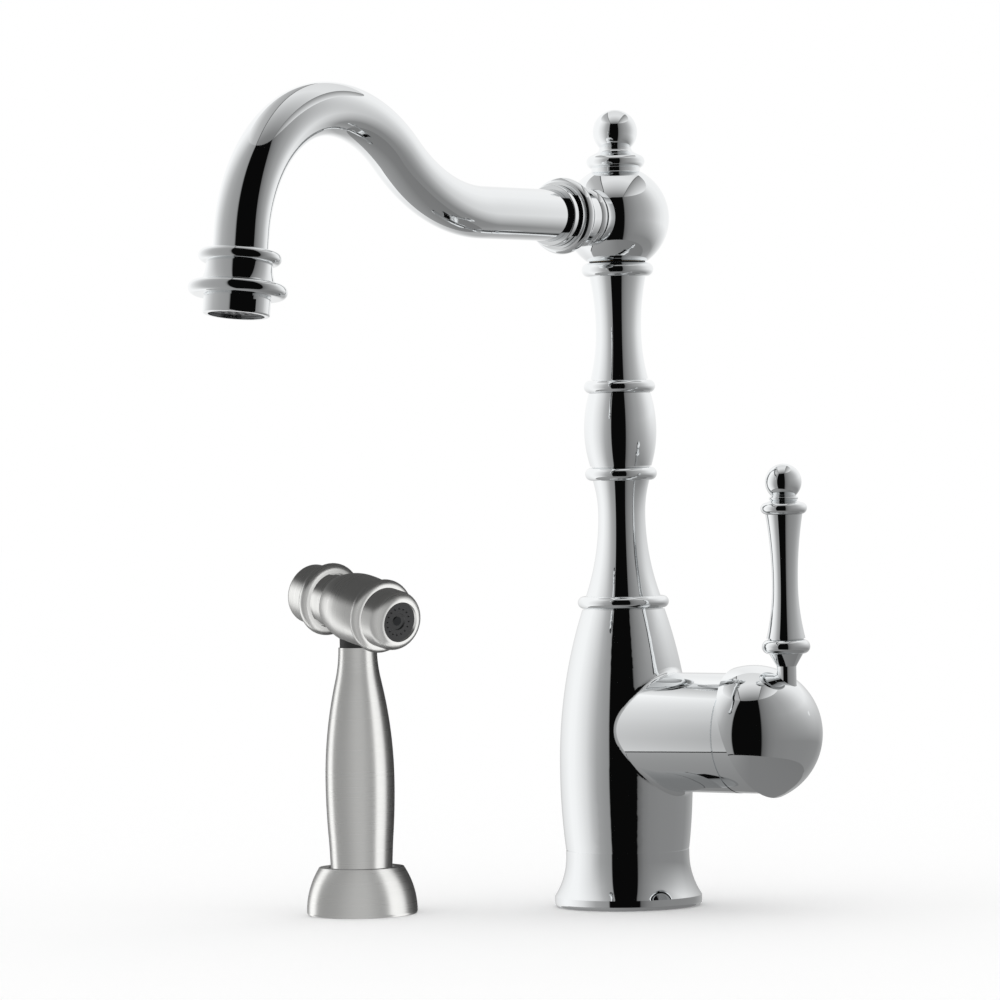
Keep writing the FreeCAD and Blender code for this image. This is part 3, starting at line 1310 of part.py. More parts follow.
draw_circles(wire, [("spring_r", f"{CAP_INSIDE} + spring_wire / 2 + face_gap", "spring_wire / 2")])
coil = spring.newObject("PartDesign::AdditiveHelix", "button_spring_coil")
coil.Profile = wire
coil.ReferenceAxis = (wire, ["V_Axis"])
coil.Mode = "height-turns-angle"
coil.setExpression("Height", bound(f"-head_wall_back - {CAP_INSIDE} - spring_wire - 2 * face_gap"))
coil.setExpression("Turns", bound("spring_turns"))
seat_head(spring)

# ---------------------------------------------------------------- checks and files

doc.recompute()
faults = [item.Label for item in doc.Objects if {"Invalid", "Error"} & set(item.State)]
if faults:
    raise ValueError(f"these objects failed: {faults}")
pieces = [item for item in doc.Objects if item.TypeId == "PartDesign::Body"]
for piece in pieces:
    if piece.Shape.isNull() or not piece.Shape.isValid():
        raise ValueError(f"{piece.Label} has no sound shape")
for piece in pieces:
    piece.Shape.exportStep(f"parts/{piece.Label}.step")
whole = Part.makeCompound([piece.Shape for piece in pieces]).BoundBox
print(f"{len(pieces)} pieces, {whole.XLength:.1f} x {whole.YLength:.1f} x {whole.ZLength:.1f} mm")
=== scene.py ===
# %% [markdown]
# # A chrome kitchen faucet with a side spray
#
# The faucet is a stack of turned brass pieces, plated and polished until each one is a mirror. A
# mirror has no look of its own: what we see on it is the room. So this lesson spends its effort on two
# things, surfaces that are smooth enough to carry a clean reflection, and a room worth reflecting.
#
# The solids come ready made from the frame. First they are loaded and their overall box is kept.

import json
import math

import bmesh
import bpy
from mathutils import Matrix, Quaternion, Vector

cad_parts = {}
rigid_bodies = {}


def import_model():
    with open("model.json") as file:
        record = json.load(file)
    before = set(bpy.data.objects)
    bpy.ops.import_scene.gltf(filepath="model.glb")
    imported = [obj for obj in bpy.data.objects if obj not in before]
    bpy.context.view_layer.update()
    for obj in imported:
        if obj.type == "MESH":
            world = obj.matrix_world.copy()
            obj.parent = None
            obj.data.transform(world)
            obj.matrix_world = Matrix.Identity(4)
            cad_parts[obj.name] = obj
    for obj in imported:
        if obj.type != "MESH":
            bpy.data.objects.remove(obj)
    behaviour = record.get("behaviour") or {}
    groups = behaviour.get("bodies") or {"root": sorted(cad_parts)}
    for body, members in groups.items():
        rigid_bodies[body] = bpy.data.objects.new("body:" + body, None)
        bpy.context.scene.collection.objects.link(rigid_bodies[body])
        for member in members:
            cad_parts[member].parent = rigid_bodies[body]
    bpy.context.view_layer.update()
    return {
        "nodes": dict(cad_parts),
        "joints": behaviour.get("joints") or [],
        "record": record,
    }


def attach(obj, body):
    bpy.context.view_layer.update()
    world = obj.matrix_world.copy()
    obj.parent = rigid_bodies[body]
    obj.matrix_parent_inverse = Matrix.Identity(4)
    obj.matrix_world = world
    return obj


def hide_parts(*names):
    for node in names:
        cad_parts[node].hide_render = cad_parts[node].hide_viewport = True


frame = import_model()
nodes = frame["nodes"]
MM = 0.001
print("the frame holds", len(nodes), "nodes")

# %% [markdown]
# ## The camera
#
# A photograph of a product is taken from far away with a long lens, so that uprights stay upright. The
# picture's proportions give the lens and the distance. The camera stands 35 degrees round from the
# spout's side, just above the height of the valve, and leans over by one degree.

# %% Camera
CAMERA_AZIMUTH = math.radians(35)
CAMERA_DISTANCE = 2260 * MM
CAMERA_HEIGHT = 202.4 * MM
AIM_LEFT_OF_COLUMN = 52.8 * MM
AIM_HEIGHT = 177.2 * MM
CAMERA_LENS = 187.2
CAMERA_LEAN = math.radians(1.04)

towards_camera = Vector((math.sin(CAMERA_AZIMUTH), -math.cos(CAMERA_AZIMUTH), 0))
to_the_right = Vector((math.cos(CAMERA_AZIMUTH), math.sin(CAMERA_AZIMUTH), 0))
aim = Vector((0, 0, AIM_HEIGHT)) - to_the_right * AIM_LEFT_OF_COLUMN
camera_data = bpy.data.cameras.new("camera")
camera_data.lens = CAMERA_LENS
camera = bpy.data.objects.new("camera", camera_data)
bpy.context.scene.collection.objects.link(camera)
camera.location = aim + towards_camera * CAMERA_DISTANCE
camera.location.z = CAMERA_HEIGHT
look = (aim - camera.location).to_track_quat("-Z", "Y")
camera.rotation_mode = "QUATERNION"
camera.rotation_quaternion = look @ Quaternion((0, 0, 1), -CAMERA_LEAN)
camera_data.clip_end = 20
bpy.context.scene.camera = camera
bpy.context.scene.view_settings.view_transform = "Standard"
print("camera at", [round(x, 3) for x in camera.location])

# %% [markdown]
# ## Small helpers
#
# A material is a graph of nodes. One helper adds a node with its settings and its links, and another
# turns a colour written as on a web page into the linear numbers that the shader works with.

# %% Helpers for materials


def linear(hex_colour):
    """A web colour such as C8CACC as linear red, green, blue and a full alpha."""
    parts = [int(hex_colour[i:i + 2], 16) / 255 for i in (0, 2, 4)]
    bent = [p / 12.92 if p <= 0.04045 else ((p + 0.055) / 1.055) ** 2.4 for p in parts]
    return (*bent, 1.0)


def add(tree, kind, settings=None, stops=(), **inputs):
    """Adds a node. settings are its own properties, stops a ramp's (place, grey) pairs in order, and
    inputs are numbers or other nodes' outputs, each by its socket's number (i0) or name."""
    node = tree.nodes.new("ShaderNode" + kind)
    for name, setting in (settings or {}).items():
        setattr(node, name, setting)
    for place, _ in stops:
        node.color_ramp.elements.new(place)
    if stops:
        band = node.color_ramp.elements
        band.remove(band[-1])
        band.remove(band[0])
        for element, (place, grey) in zip(band, stops):
            element.position = place
            element.color = (grey, grey, grey, 1)
    for name, given in inputs.items():
        socket = node.inputs[int(name[1:])] if name[1:].isdigit() else node.inputs[name.replace("_", " ")]
        if isinstance(given, bpy.types.NodeSocket):
            tree.links.new(given, socket)
        else:
            socket.default_value = given
    return node


def new_material(name):
    """An empty material with its shader and output joined."""
    material = bpy.data.materials.new(name)
    material.use_nodes = True
    tree = material.node_tree
    tree.nodes.clear()
    shader = add(tree, "BsdfPrincipled")
    add(tree, "OutputMaterial", i0=shader.outputs[0])
    return material, tree, shader


def paint(piece, material):
    """Gives a piece one material in place of all it had."""
    piece.data.materials.clear()
    piece.data.materials.append(material)


print("a web colour of 808080 is", round(linear("808080")[0], 3), "to the shader")

# %% [markdown]
# ## The room
#
# Chrome is photographed inside a white tent. The camera looks in through a dark upright opening, and
# that opening is the black bar which runs down the middle of every turned form. To the left of the bar
# the tent is bright, and to the right it starts grey and brightens as it goes round.
#
# A tent is close to the faucet, so each part of it reflects another piece of the cloth. That is why it
# is built here as a real drum round the column, and only mirrored rays meet it. All other rays see an
# even white.

# %% The tent's shape
TENT_RADIUS = 392 * MM
TENT_FOOT = -156 * MM
TENT_ROOF = 676 * MM
TENT_SIDES = 180


def only_in_mirrors(cloth_piece):
    """Hides a piece of the room from everything but mirrored rays."""
    for kind in ("camera", "diffuse", "transmission", "volume_scatter", "shadow"):
        setattr(cloth_piece, "visible_" + kind, False)


def drum(name, centre, radius, foot, top):
    """A closed drum of cloth, its own origin at the world's origin."""
    bpy.ops.object.select_all(action="DESELECT")
    middle = Vector((centre.x, centre.y, (foot + top) / 2))
    high = top - foot
    bpy.ops.mesh.primitive_cylinder_add(vertices=TENT_SIDES, radius=radius, depth=high, location=middle)
    made = bpy.context.object
    made.name = name
    bpy.ops.object.transform_apply(location=True, rotation=True, scale=True)
    only_in_mirrors(made)
    print(name, "is", round(2 * radius, 3), "m wide and", round(high, 3), "m high")
    return made


tent = drum("tent", Vector((0, 0, 0)), TENT_RADIUS, TENT_FOOT, TENT_ROOF)

# %% [markdown]
# The cloth glows by place. The angle round the column, counted from the camera's side and growing to
# the right, picks a grey from a ramp. There is one ramp for the wall low down and one for the wall high
# up, and the height blends the two. Over both lies the dark opening.

# %% The tent's wall and its opening
HIGH_WALL = [
    (-180, 0.90), (-166, 1.0), (-115, 1.0), (-101, 1.0), (-87, 0.90), (-74, 0.78), (-63, 0.64),
    (-52, 0.46), (-41, 0.36), (-31, 0.31), (17, 0.15), (27, 0.22), (37, 0.27), (48, 0.33),
    (60, 0.38), (70, 0.45), (82, 0.55), (95, 0.70), (111, 0.86), (130, 0.94), (164, 0.95), (180, 0.90),
]
LOW_WALL = [
    (-180, 0.45), (-150, 0.80), (-115, 1.0), (-101, 0.98), (-87, 0.88), (-74, 0.74), (-63, 0.54),
    (-52, 0.37), (-41, 0.32), (-31, 0.29), (17, 0.12), (27, 0.20), (37, 0.23), (60, 0.245),
    (90, 0.25), (120, 0.27), (150, 0.40), (180, 0.45),
]
BLEND_FROM = 20 * MM
BLEND_TO = 260 * MM
OPENING_LEFT = -30.0
OPENING_RIGHT = 16.0
OPENING_GREY = 0.003
SOFT = 0.003

cloth = bpy.data.materials.new("glowing cloth")
cloth.use_nodes = True
cloth.cycles.emission_sampling = "NONE"
tree = cloth.node_tree
tree.nodes.clear()
dot = {"operation": "DOT_PRODUCT"}
mixing = {"data_type": "RGBA"}
place = add(tree, "TexCoord").outputs["Object"]
sideways = add(tree, "VectorMath", dot, i0=place, i1=to_the_right).outputs["Value"]
forwards = add(tree, "VectorMath", dot, i0=place, i1=towards_camera).outputs["Value"]
height = add(tree, "SeparateXYZ", i0=place).outputs["Z"]
angle = add(tree, "Math", {"operation": "ARCTAN2"}, i0=sideways, i1=forwards).outputs[0]
compass = add(tree, "MapRange", i0=angle, i1=-math.pi, i2=math.pi).outputs[0]


def share_round(degrees):
    """Where an angle lies on the way round, from 0 to 1."""
    return degrees / 360 + 0.5


def even_grey(grey):
    """A grey as a colour with a full alpha."""
    return (grey, grey, grey, 1)


high_stops = [(share_round(degrees), grey) for degrees, grey in HIGH_WALL]
low_stops = [(share_round(degrees), grey) for degrees, grey in LOW_WALL]
opening_stops = [
    (share_round(OPENING_LEFT) - SOFT, 0), (share_round(OPENING_LEFT), 1),
    (share_round(OPENING_RIGHT), 1), (share_round(OPENING_RIGHT) + SOFT, 0),
]
high_wall = add(tree, "ValToRGB", stops=high_stops, i0=compass).outputs[0]
low_wall = add(tree, "ValToRGB", stops=low_stops, i0=compass).outputs[0]
raised = add(tree, "MapRange", i0=height, i1=BLEND_FROM, i2=BLEND_TO).outputs[0]
walls = add(tree, "Mix", mixing, i0=raised, i6=low_wall, i7=high_wall).outputs[2]
opening = add(tree, "ValToRGB", stops=opening_stops, i0=compass).outputs[0]
opened = add(tree, "Mix", mixing, i0=opening, i6=walls, i7=even_grey(OPENING_GREY)).outputs[2]
print("the wall has", len(LOW_WALL), "greys low down and", len(HIGH_WALL), "high up")

# %% [markdown]
# The roof has a strip about as wide as the opening, which runs back over the faucet from the opening's
# top. It is dim at the front and bright overhead, and a thin dark seam lies along each of its sides. On
# a ball that strip is the bright fan above the black bar. The tent's floor is darker than its wall, and
# where the two meet on the left there is another dark seam, seen as a line along the side branch.

# %% The tent's roof and floor
STRIP_LEFT = -150 * MM
STRIP_RIGHT = 165 * MM
STRIP_SLANT = 0.125
ROOF_MIDWAY = 250 * MM
SEAM = 4 * MM
LEFT_SEAM_GREY = 0.02
RIGHT_SEAM_GREY = 0.12
TENT_SPAN = 2 * TENT_RADIUS


def share_across(side):
    """Where a distance to the right lies across the tent, from 0 to 1."""
    return side / TENT_SPAN + 0.5


strip_stops = [
    (share_across(STRIP_LEFT), 0), (share_across(STRIP_LEFT + SEAM), 1),
    (share_across(STRIP_RIGHT - SEAM), 1), (share_across(STRIP_RIGHT), 0),
]
side_stops = [
    (0.0, 0.90), (share_across(-ROOF_MIDWAY), 0.50), (share_across(STRIP_LEFT - 2 * SEAM), 0.42),
    (share_across(STRIP_LEFT - SEAM), LEFT_SEAM_GREY), (share_across(STRIP_LEFT + SEAM), LEFT_SEAM_GREY),
    (share_across(STRIP_RIGHT - SEAM), RIGHT_SEAM_GREY),
    (share_across(STRIP_RIGHT + SEAM), RIGHT_SEAM_GREY),
    (share_across(STRIP_RIGHT + 2 * SEAM), 0.28), (share_across(ROOF_MIDWAY), 0.50), (1.0, 0.85),
]
depth_stops = [(0.0, 0.75), (0.5, 0.82), (0.62, 0.68), (0.80, 0.42), (0.93, 0.24), (1.0, 0.19)]
half_span = {"i1": -TENT_RADIUS, "i2": TENT_RADIUS}
slanting = {"operation": "MULTIPLY_ADD"}
slanted = add(tree, "Math", slanting, i0=forwards, i1=STRIP_SLANT, i2=sideways).outputs[0]
across = add(tree, "MapRange", i0=slanted, **half_span).outputs[0]
deep = add(tree, "MapRange", i0=forwards, **half_span).outputs[0]
in_strip = add(tree, "ValToRGB", stops=strip_stops, i0=across).outputs[0]
roof_sides = add(tree, "ValToRGB", stops=side_stops, i0=across).outputs[0]
strip = add(tree, "ValToRGB", stops=depth_stops, i0=deep).outputs[0]
roof = add(tree, "Mix", mixing, i0=in_strip, i6=roof_sides, i7=strip).outputs[2]
at_roof = add(tree, "Math", {"operation": "GREATER_THAN"}, i0=height, i1=TENT_ROOF - MM).outputs[0]
roofed = add(tree, "Mix", mixing, i0=at_roof, i6=opened, i7=roof).outputs[2]

floor_stops = [(0.0, 0.36), (0.35, 0.28), (0.55, 0.215), (1.0, 0.20)]
floor_grey = add(tree, "ValToRGB", stops=floor_stops, i0=across).outputs[0]
at_floor = add(tree, "Math", {"operation": "LESS_THAN"}, i0=height, i1=TENT_FOOT + MM).outputs[0]
floored = add(tree, "Mix", mixing, i0=at_floor, i6=roofed, i7=floor_grey).outputs[2]

corner_stops = [
    (share_round(-118), 0), (share_round(-112), 1), (share_round(-32), 1), (share_round(-30), 0),
]
near_corner = add(tree, "ValToRGB", stops=corner_stops, i0=compass).outputs[0]
corner_top = TENT_FOOT + 4 * SEAM
low_down = add(tree, "Math", {"operation": "LESS_THAN"}, i0=height, i1=corner_top).outputs[0]
corner = add(tree, "Math", {"operation": "MULTIPLY"}, i0=near_corner, i1=low_down).outputs[0]
less = {"operation": "SUBTRACT", "use_clamp": True}
wall_only = add(tree, "Math", less, i0=corner, i1=at_floor).outputs[0]
shown = add(tree, "Mix", mixing, i0=wall_only, i6=floored, i7=even_grey(LEFT_SEAM_GREY)).outputs[2]
glow = add(tree, "Emission", i0=shown, i1=1.0)
add(tree, "OutputMaterial", i0=glow.outputs[0])
paint(tent, cloth)
print("the tent's cloth has", len(tree.nodes), "shader nodes")

# %% [markdown]
# The satin spray was lit apart, between two upright lamps. It gets a small drum of its own, with a
# bright strip on each side and a dark top. A ray that comes from outside has already passed through the
# drum's wall once when it meets the far side, and then that side lets it through as well. So only the
# spray, which stands inside, mirrors this drum.

# %% The spray's own drum
spray_axis = Vector(next(joint for joint in frame["joints"] if joint["name"] == "spray_lift")["pos_m"])
SPRAY_TOP = 200 * MM
SPRAY_FOOT = -8 * MM
SPRAY_DRUM_RADIUS = 62 * MM
SPRAY_WALL = [
    (-180, 0.20), (-150, 0.25), (-124, 0.40), (-116, 1.5), (-98, 1.6), (-90, 0.55), (-80, 0.46),
    (-64, 0.46), (-44, 0.50), (-10, 0.68), (10, 0.68), (36, 0.48), (46, 0.55), (54, 1.50), (82, 1.35),
    (94, 0.22), (114, 0.08), (180, 0.06),
]
BRIGHTEST = 1.6
TOP_GREY = 0.07
DARKENS_FROM = 148 * MM
DARK_FROM = 168 * MM

lining = drum("spray drum", spray_axis, SPRAY_DRUM_RADIUS, SPRAY_FOOT, SPRAY_TOP)
lining_cloth = bpy.data.materials.new("spray drum cloth")
lining_cloth.use_nodes = True
lining_cloth.cycles.emission_sampling = "NONE"
tree = lining_cloth.node_tree
tree.nodes.clear()
place = add(tree, "TexCoord").outputs["Object"]
spot = add(tree, "VectorMath", {"operation": "SUBTRACT"}, i0=place, i1=spray_axis).outputs[0]
sideways = add(tree, "VectorMath", dot, i0=spot, i1=to_the_right).outputs["Value"]
forwards = add(tree, "VectorMath", dot, i0=spot, i1=towards_camera).outputs["Value"]
angle = add(tree, "Math", {"operation": "ARCTAN2"}, i0=sideways, i1=forwards).outputs[0]
compass = add(tree, "MapRange", i0=angle, i1=-math.pi, i2=math.pi).outputs[0]
spray_stops = [(share_round(degrees), grey / BRIGHTEST) for degrees, grey in SPRAY_WALL]
around = add(tree, "ValToRGB", stops=spray_stops, i0=compass).outputs[0]
height = add(tree, "SeparateXYZ", i0=place).outputs["Z"]
topmost = add(tree, "MapRange", i0=height, i1=DARKENS_FROM, i2=DARK_FROM).outputs[0]
shown = add(tree, "Mix", mixing, i0=topmost, i6=around, i7=even_grey(TOP_GREY)).outputs[2]
glow = add(tree, "Emission", i0=shown, i1=BRIGHTEST)
inside = add(tree, "NewGeometry").outputs["Backfacing"]
outside = add(tree, "Math", {"operation": "SUBTRACT"}, i0=1.0, i1=inside).outputs[0]
passed = add(tree, "LightPath").outputs["Transparent Depth"]
clear = add(tree, "Math", {"operation": "ADD", "use_clamp": True}, i0=outside, i1=passed).outputs[0]
through = add(tree, "BsdfTransparent")
wall = add(tree, "MixShader", i0=clear, i1=glow.outputs[0], i2=through.outputs[0])
add(tree, "OutputMaterial", i0=wall.outputs[0])
paint(lining, lining_cloth)
print("the spray's drum has", len(SPRAY_WALL), "greys round its wall")

# %% An even white for all that isn't a mirror
world = bpy.data.worlds.new("even white")
bpy.context.scene.world = world
world.use_nodes = True
world.node_tree.nodes.clear()
even = add(world.node_tree, "Background", i0=(1, 1, 1, 1), i1=1.0)
add(world.node_tree, "OutputWorld", i0=even.outputs[0])
print("the world is", world.name)

# %% [markdown]
# ## The floor
#
# The faucet stands on a plain white sheet. It is matt, so it takes a soft shadow where the feet touch
# it, and it is large enough that its edge is never seen from the sides.

# %% Floor
FLOOR_HALF = 6.0
bpy.ops.object.select_all(action="DESELECT")
bpy.ops.mesh.primitive_plane_add(size=2 * FLOOR_HALF, location=(0, 0, -0.05 * MM))
floor = bpy.context.object
floor.name = "floor"
paper, tree, shader = new_material("white matt paper")
shader.inputs["Base Color"].default_value = (1, 1, 1, 1)
shader.inputs["Roughness"].default_value = 0.9
shader.inputs["Specular IOR Level"].default_value = 0.0
paint(floor, paper)
floor.visible_glossy = False
print("the floor is", 2 * FLOOR_HALF, "m wide")

# %% [markdown]
# ## Polished chrome
#
# Chromium plate is a neutral metal that sends back most of the light, a touch cooler than white. After
# buffing it is all but a mirror. What is left of the buffing is a very faint unevenness, which makes the
# edge of each reflection waver by a hair, and a trace of haze that changes from place to place.

# %% Polished chrome
chrome, tree, shader = new_material("polished chrome plate")
CHROME_COLOUR = "F3F5F6"
CHROME_ROUGHNESS = 0.018
WAVER_SIZE = 14 * MM
WAVER_DEPTH = 0.012 * MM
shader.inputs["Base Color"].default_value = linear(CHROME_COLOUR)
shader.inputs["Metallic"].default_value = 1.0
place = add(tree, "TexCoord").outputs["Object"]
haze = add(tree, "TexNoise", i2=1 / (6 * MM), i3=3.0, Vector=place).outputs[0]
rough = add(tree, "MapRange", i0=haze, i1=0.3, i2=0.8, i3=CHROME_ROUGHNESS, i4=2.2 * CHROME_ROUGHNESS)
tree.links.new(rough.outputs[0], shader.inputs["Roughness"])
waver = add(tree, "TexNoise", i2=1 / WAVER_SIZE, i3=1.0, Vector=place).outputs[0]
buffed = add(tree, "Bump", Strength=1.0, Distance=WAVER_DEPTH, Height=waver)
tree.links.new(buffed.outputs[0], shader.inputs["Normal"])
print(chrome.name, "has", len(tree.nodes), "shader nodes")

# %% [markdown]
# ## Satin steel
#
# The spray is finished on a lathe with an abrasive pad. The pad leaves fine scratches that run round
# the piece, so light smears along the axis and stays narrow across it. Each scratch is far finer than a
# picture can show, so the ones drawn here are about a third of a millimetre apart, just enough to show
# as a faint grain. The pieces have two axes, the handle's upright one and the head's, so the finish is
# made by a function that is told its axis.

# %% Satin steel, turned about an axis
SATIN_COLOUR = "D2D2D0"
SATIN_SMOOTHEST = 0.25
SATIN_ROUGHEST = 0.36
SCRATCH_PITCH = 0.35 * MM
SCRATCH_LENGTH = 60 * MM


def satin_about(name, axis):
    """Satin steel with its scratches round the axis."""
    material, tree, shader = new_material(name)
    shader.inputs["Base Color"].default_value = linear(SATIN_COLOUR)
    shader.inputs["Metallic"].default_value = 1.0
    shader.inputs["Anisotropic"].default_value = 0.55
    place = add(tree, "TexCoord").outputs["Object"]
    along_axis = add(tree, "VectorMath", dot, i0=place, i1=axis).outputs["Value"]
    across = add(tree, "VectorMath", {"operation": "SCALE"}, i0=place, Scale=1 / SCRATCH_LENGTH).outputs[0]
    pitch = add(tree, "Math", {"operation": "DIVIDE"}, i0=along_axis, i1=SCRATCH_PITCH).outputs[0]
    lines = add(tree, "CombineXYZ", i0=pitch).outputs[0]
    grain_place = add(tree, "VectorMath", {"operation": "ADD"}, i0=across, i1=lines).outputs[0]
    grain = add(tree, "TexNoise", i2=1.0, i3=3.0, Vector=grain_place).outputs[0]
    rough = add(tree, "MapRange", i0=grain, i1=0.25, i2=0.75, i3=SATIN_SMOOTHEST, i4=SATIN_ROUGHEST)
    tree.links.new(rough.outputs[0], shader.inputs["Roughness"])
    scratches = add(tree, "Bump", Strength=0.35, Distance=0.02 * MM, Height=grain)
    tree.links.new(scratches.outputs[0], shader.inputs["Normal"])
    direction = add(tree, "CombineXYZ", i0=axis[0], i1=axis[1], i2=axis[2])
    tree.links.new(direction.outputs[0], shader.inputs["Tangent"])
    return material


press = next(joint for joint in frame["joints"] if joint["name"] == "spray_press")
head_axis = Vector(press["axis"]).normalized()
satin_upright = satin_about("satin steel turned upright", Vector((0, 0, 1)))
satin_head = satin_about("satin steel turned along the head", head_axis)
print(satin_upright.name, "and", satin_head.name)

# %% [markdown]
# ## The hidden and the small pieces
#
# Brass, plain steel, rubber, moulded plastic and ceramic show only in gaps and from below, but each
# gets its own finish, by its colour, its roughness and the size of its grain.

# %% Brass, steel, rubber, plastic and ceramic


def grained(name, colour, roughness, metallic, grain_size, grain_depth, spread=0.06, ior=1.5):
    """A finish whose roughness and height vary at the scale of its own grain."""
    material, tree, shader = new_material(name)
    shader.inputs["Metallic"].default_value = metallic
    if not metallic:
        shader.inputs["IOR"].default_value = ior
    place = add(tree, "TexCoord").outputs["Object"]
    grain = add(tree, "TexNoise", i2=1 / grain_size, i3=4.0, Vector=place).outputs[0]
    dark = tuple(0.86 * c for c in linear(colour)[:3]) + (1,)
    tone = add(tree, "Mix", mixing, i0=grain, i6=dark, i7=linear(colour)).outputs[2]
    tree.links.new(tone, shader.inputs["Base Color"])
    rough = add(tree, "MapRange", i0=grain, i3=roughness - spread, i4=roughness + spread)
    tree.links.new(rough.outputs[0], shader.inputs["Roughness"])
    relief = add(tree, "Bump", Strength=0.5, Distance=grain_depth, Height=grain)
    tree.links.new(relief.outputs[0], shader.inputs["Normal"])
    return material


machined_brass = grained("machined brass", "C9A565", 0.30, 1.0, 0.8 * MM, 0.01 * MM)
plain_steel = grained("plain steel", "B4B5B6", 0.33, 1.0, 0.6 * MM, 0.01 * MM)
nitrile_rubber = grained("nitrile rubber", "1B1B1C", 0.62, 0.0, 0.5 * MM, 0.02 * MM, ior=1.52)
acetal = grained("moulded black acetal", "17181A", 0.42, 0.0, 0.35 * MM, 0.01 * MM, ior=1.48)
alumina = grained("lapped alumina ceramic", "EFEBE2", 0.18, 0.0, 0.2 * MM, 0.002 * MM, ior=1.76)
screen_steel = grained("etched screen steel", "6E7072", 0.38, 1.0, 0.4 * MM, 0.01 * MM)
# A dark grey steel for the pin on the spray's nozzle, darker than the plain steel.
dark_pin = grained("dark grey pin steel", "2A2B2C", 0.45, 1.0, 0.4 * MM, 0.01 * MM)
FINISHES = {
    "polished_chrome": chrome,
    "satin_steel": satin_head,
    "brass": machined_brass,
    "steel": plain_steel,
    "black_rubber": nitrile_rubber,
    "black_plastic": acetal,
    "screen_steel": screen_steel,
    "ceramic": alumina,
}
slot_of = {row["node"]: row["material_slot"] for row in frame["record"]["subparts"]}
for name, node in nodes.items():
    paint(node, FINISHES[slot_of[name]])
# The pin on the spray's nozzle is given this dark grey steel in place of its slot's plain steel.
paint(nodes["spray_pin"], dark_pin)
print("painted", len(nodes), "nodes with", len(FINISHES), "finishes")

# %% [markdown]
# ## Turned pieces, made finer
#
# The solids arrive as coarse triangles. That is enough for a drawing, but a mirror shows every flat. On
# a lathe all these pieces come from one outline that turns about its axis, and the same works here.
# Every point of a turned solid lies on that outline once its angle is left out, so the outline can be
# read off the solid. The Spin tool turns it again in many more steps, and a subdivision with its sharp
# edges held rounds the beads.

# %% Reading an outline off a turned solid
SAME_SPOT = 0.004 * MM
SAME_ANGLE = 0.02


def seam_links(node, centre, axis):
    """Pairs of (along the axis, out from it) spots joined by the solid's longest line at one angle."""
    solid = bmesh.new()
    solid.from_mesh(node.data)
    bmesh.ops.remove_doubles(solid, verts=solid.verts, dist=0.001 * MM)
    side = axis.orthogonal().normalized()
    other = axis.cross(side)
    by_angle = {}
    for edge in solid.edges:
        ends = []
        for vertex in edge.verts:
            reach = vertex.co - centre
            along_it = reach.dot(axis)
            flat = reach - along_it * axis
            angle = math.degrees(math.atan2(flat.dot(other), flat.dot(side))) % 360
            ends.append((along_it, flat.length, angle if flat.length > SAME_SPOT else None))
        angles = [end[2] for end in ends if end[2] is not None]
        first, last = ends[0][:2], ends[1][:2]
        if angles and abs(angles[0] - angles[-1]) < SAME_ANGLE and math.dist(first, last) > SAME_SPOT:
            by_angle.setdefault(round(angles[0], 1) % 360, []).append((first, last))
    solid.free()
    return max(by_angle.values(), key=len)


def outline_of(node, centre, axis):
    """The turned solid's outline as a list of (along, out) in order, and whether it is a closed loop."""
    spots = []

    def number(spot):
        for i, known in enumerate(spots):
            if math.dist(known, spot) < SAME_SPOT:
                return i
        spots.append(spot)
        return len(spots) - 1

    links = {}
    for first, second in seam_links(node, centre, axis):
        a, b = number(first), number(second)
        links.setdefault(a, set()).add(b)
        links.setdefault(b, set()).add(a)
    # A flat face has no line of its own, so its rims are joined to each other, or to the axis.
    loose = [i for i in links if len(links[i]) < 2 and spots[i][1] > SAME_SPOT]
    loose.sort(key=lambda i: spots[i])
    levels = []
    for i in loose:
        if levels and abs(spots[levels[-1][-1]][0] - spots[i][0]) < SAME_SPOT:
            levels[-1].append(i)
        else:
            levels.append([i])
    for level_spots in levels:
        level_spots.sort(key=lambda i: spots[i][1])
        if len(level_spots) % 2:
            level_spots.insert(0, number((spots[level_spots[0]][0], 0.0)))
        for a, b in zip(level_spots[::2], level_spots[1::2]):
            links.setdefault(a, set()).add(b)
            links.setdefault(b, set()).add(a)
    start = next((i for i in links if spots[i][1] < SAME_SPOT and len(links[i]) == 1), next(iter(links)))
    walk = [start]
    while True:
        ahead = [j for j in links[walk[-1]] if j not in walk]
        if not ahead:
            break
        walk.append(ahead[0])
    closed = len(walk) > 2 and start in links[walk[-1]] and spots[start][1] > SAME_SPOT
    return [spots[i] for i in walk], closed


print("spots nearer than", SAME_SPOT / MM, "mm are one")

# %% Spinning an outline
SPIN_STEPS = 96
HOLD_SHARPER_THAN = math.radians(26)


def only(piece):
    """Selects one piece alone."""
    bpy.ops.object.select_all(action="DESELECT")
    piece.select_set(True)
    bpy.context.view_layer.objects.active = piece


def new_piece(name, points, edges, faces=()):
    """An object at the origin from points, edges and faces."""
    mesh = bpy.data.meshes.new(name)
    mesh.from_pydata([tuple(point) for point in points], edges, faces)
    piece = bpy.data.objects.new(name, mesh)
    bpy.context.scene.collection.objects.link(piece)
    only(piece)
    return piece


def finer_by_subdivision(piece, levels=1):
    """Subdivides a piece and holds its sharp edges, then smooths its shading between them."""
    only(piece)
    mesh = bmesh.new()
    mesh.from_mesh(piece.data)
    crease = mesh.edges.layers.float.get("crease_edge") or mesh.edges.layers.float.new("crease_edge")
    for edge in mesh.edges:
        if edge.calc_face_angle(0) > HOLD_SHARPER_THAN:
            edge[crease] = 1.0
    mesh.to_mesh(piece.data)
    mesh.free()
    finer = piece.modifiers.new("finer", "SUBSURF")
    finer.levels = levels
    finer.render_levels = levels
    bpy.ops.object.modifier_apply(modifier="finer")
    bpy.ops.object.shade_smooth_by_angle(angle=HOLD_SHARPER_THAN)


bodies = frame["record"]["behaviour"]["bodies"]
body_of_node = {name: body for body, names in bodies.items() for name in names}


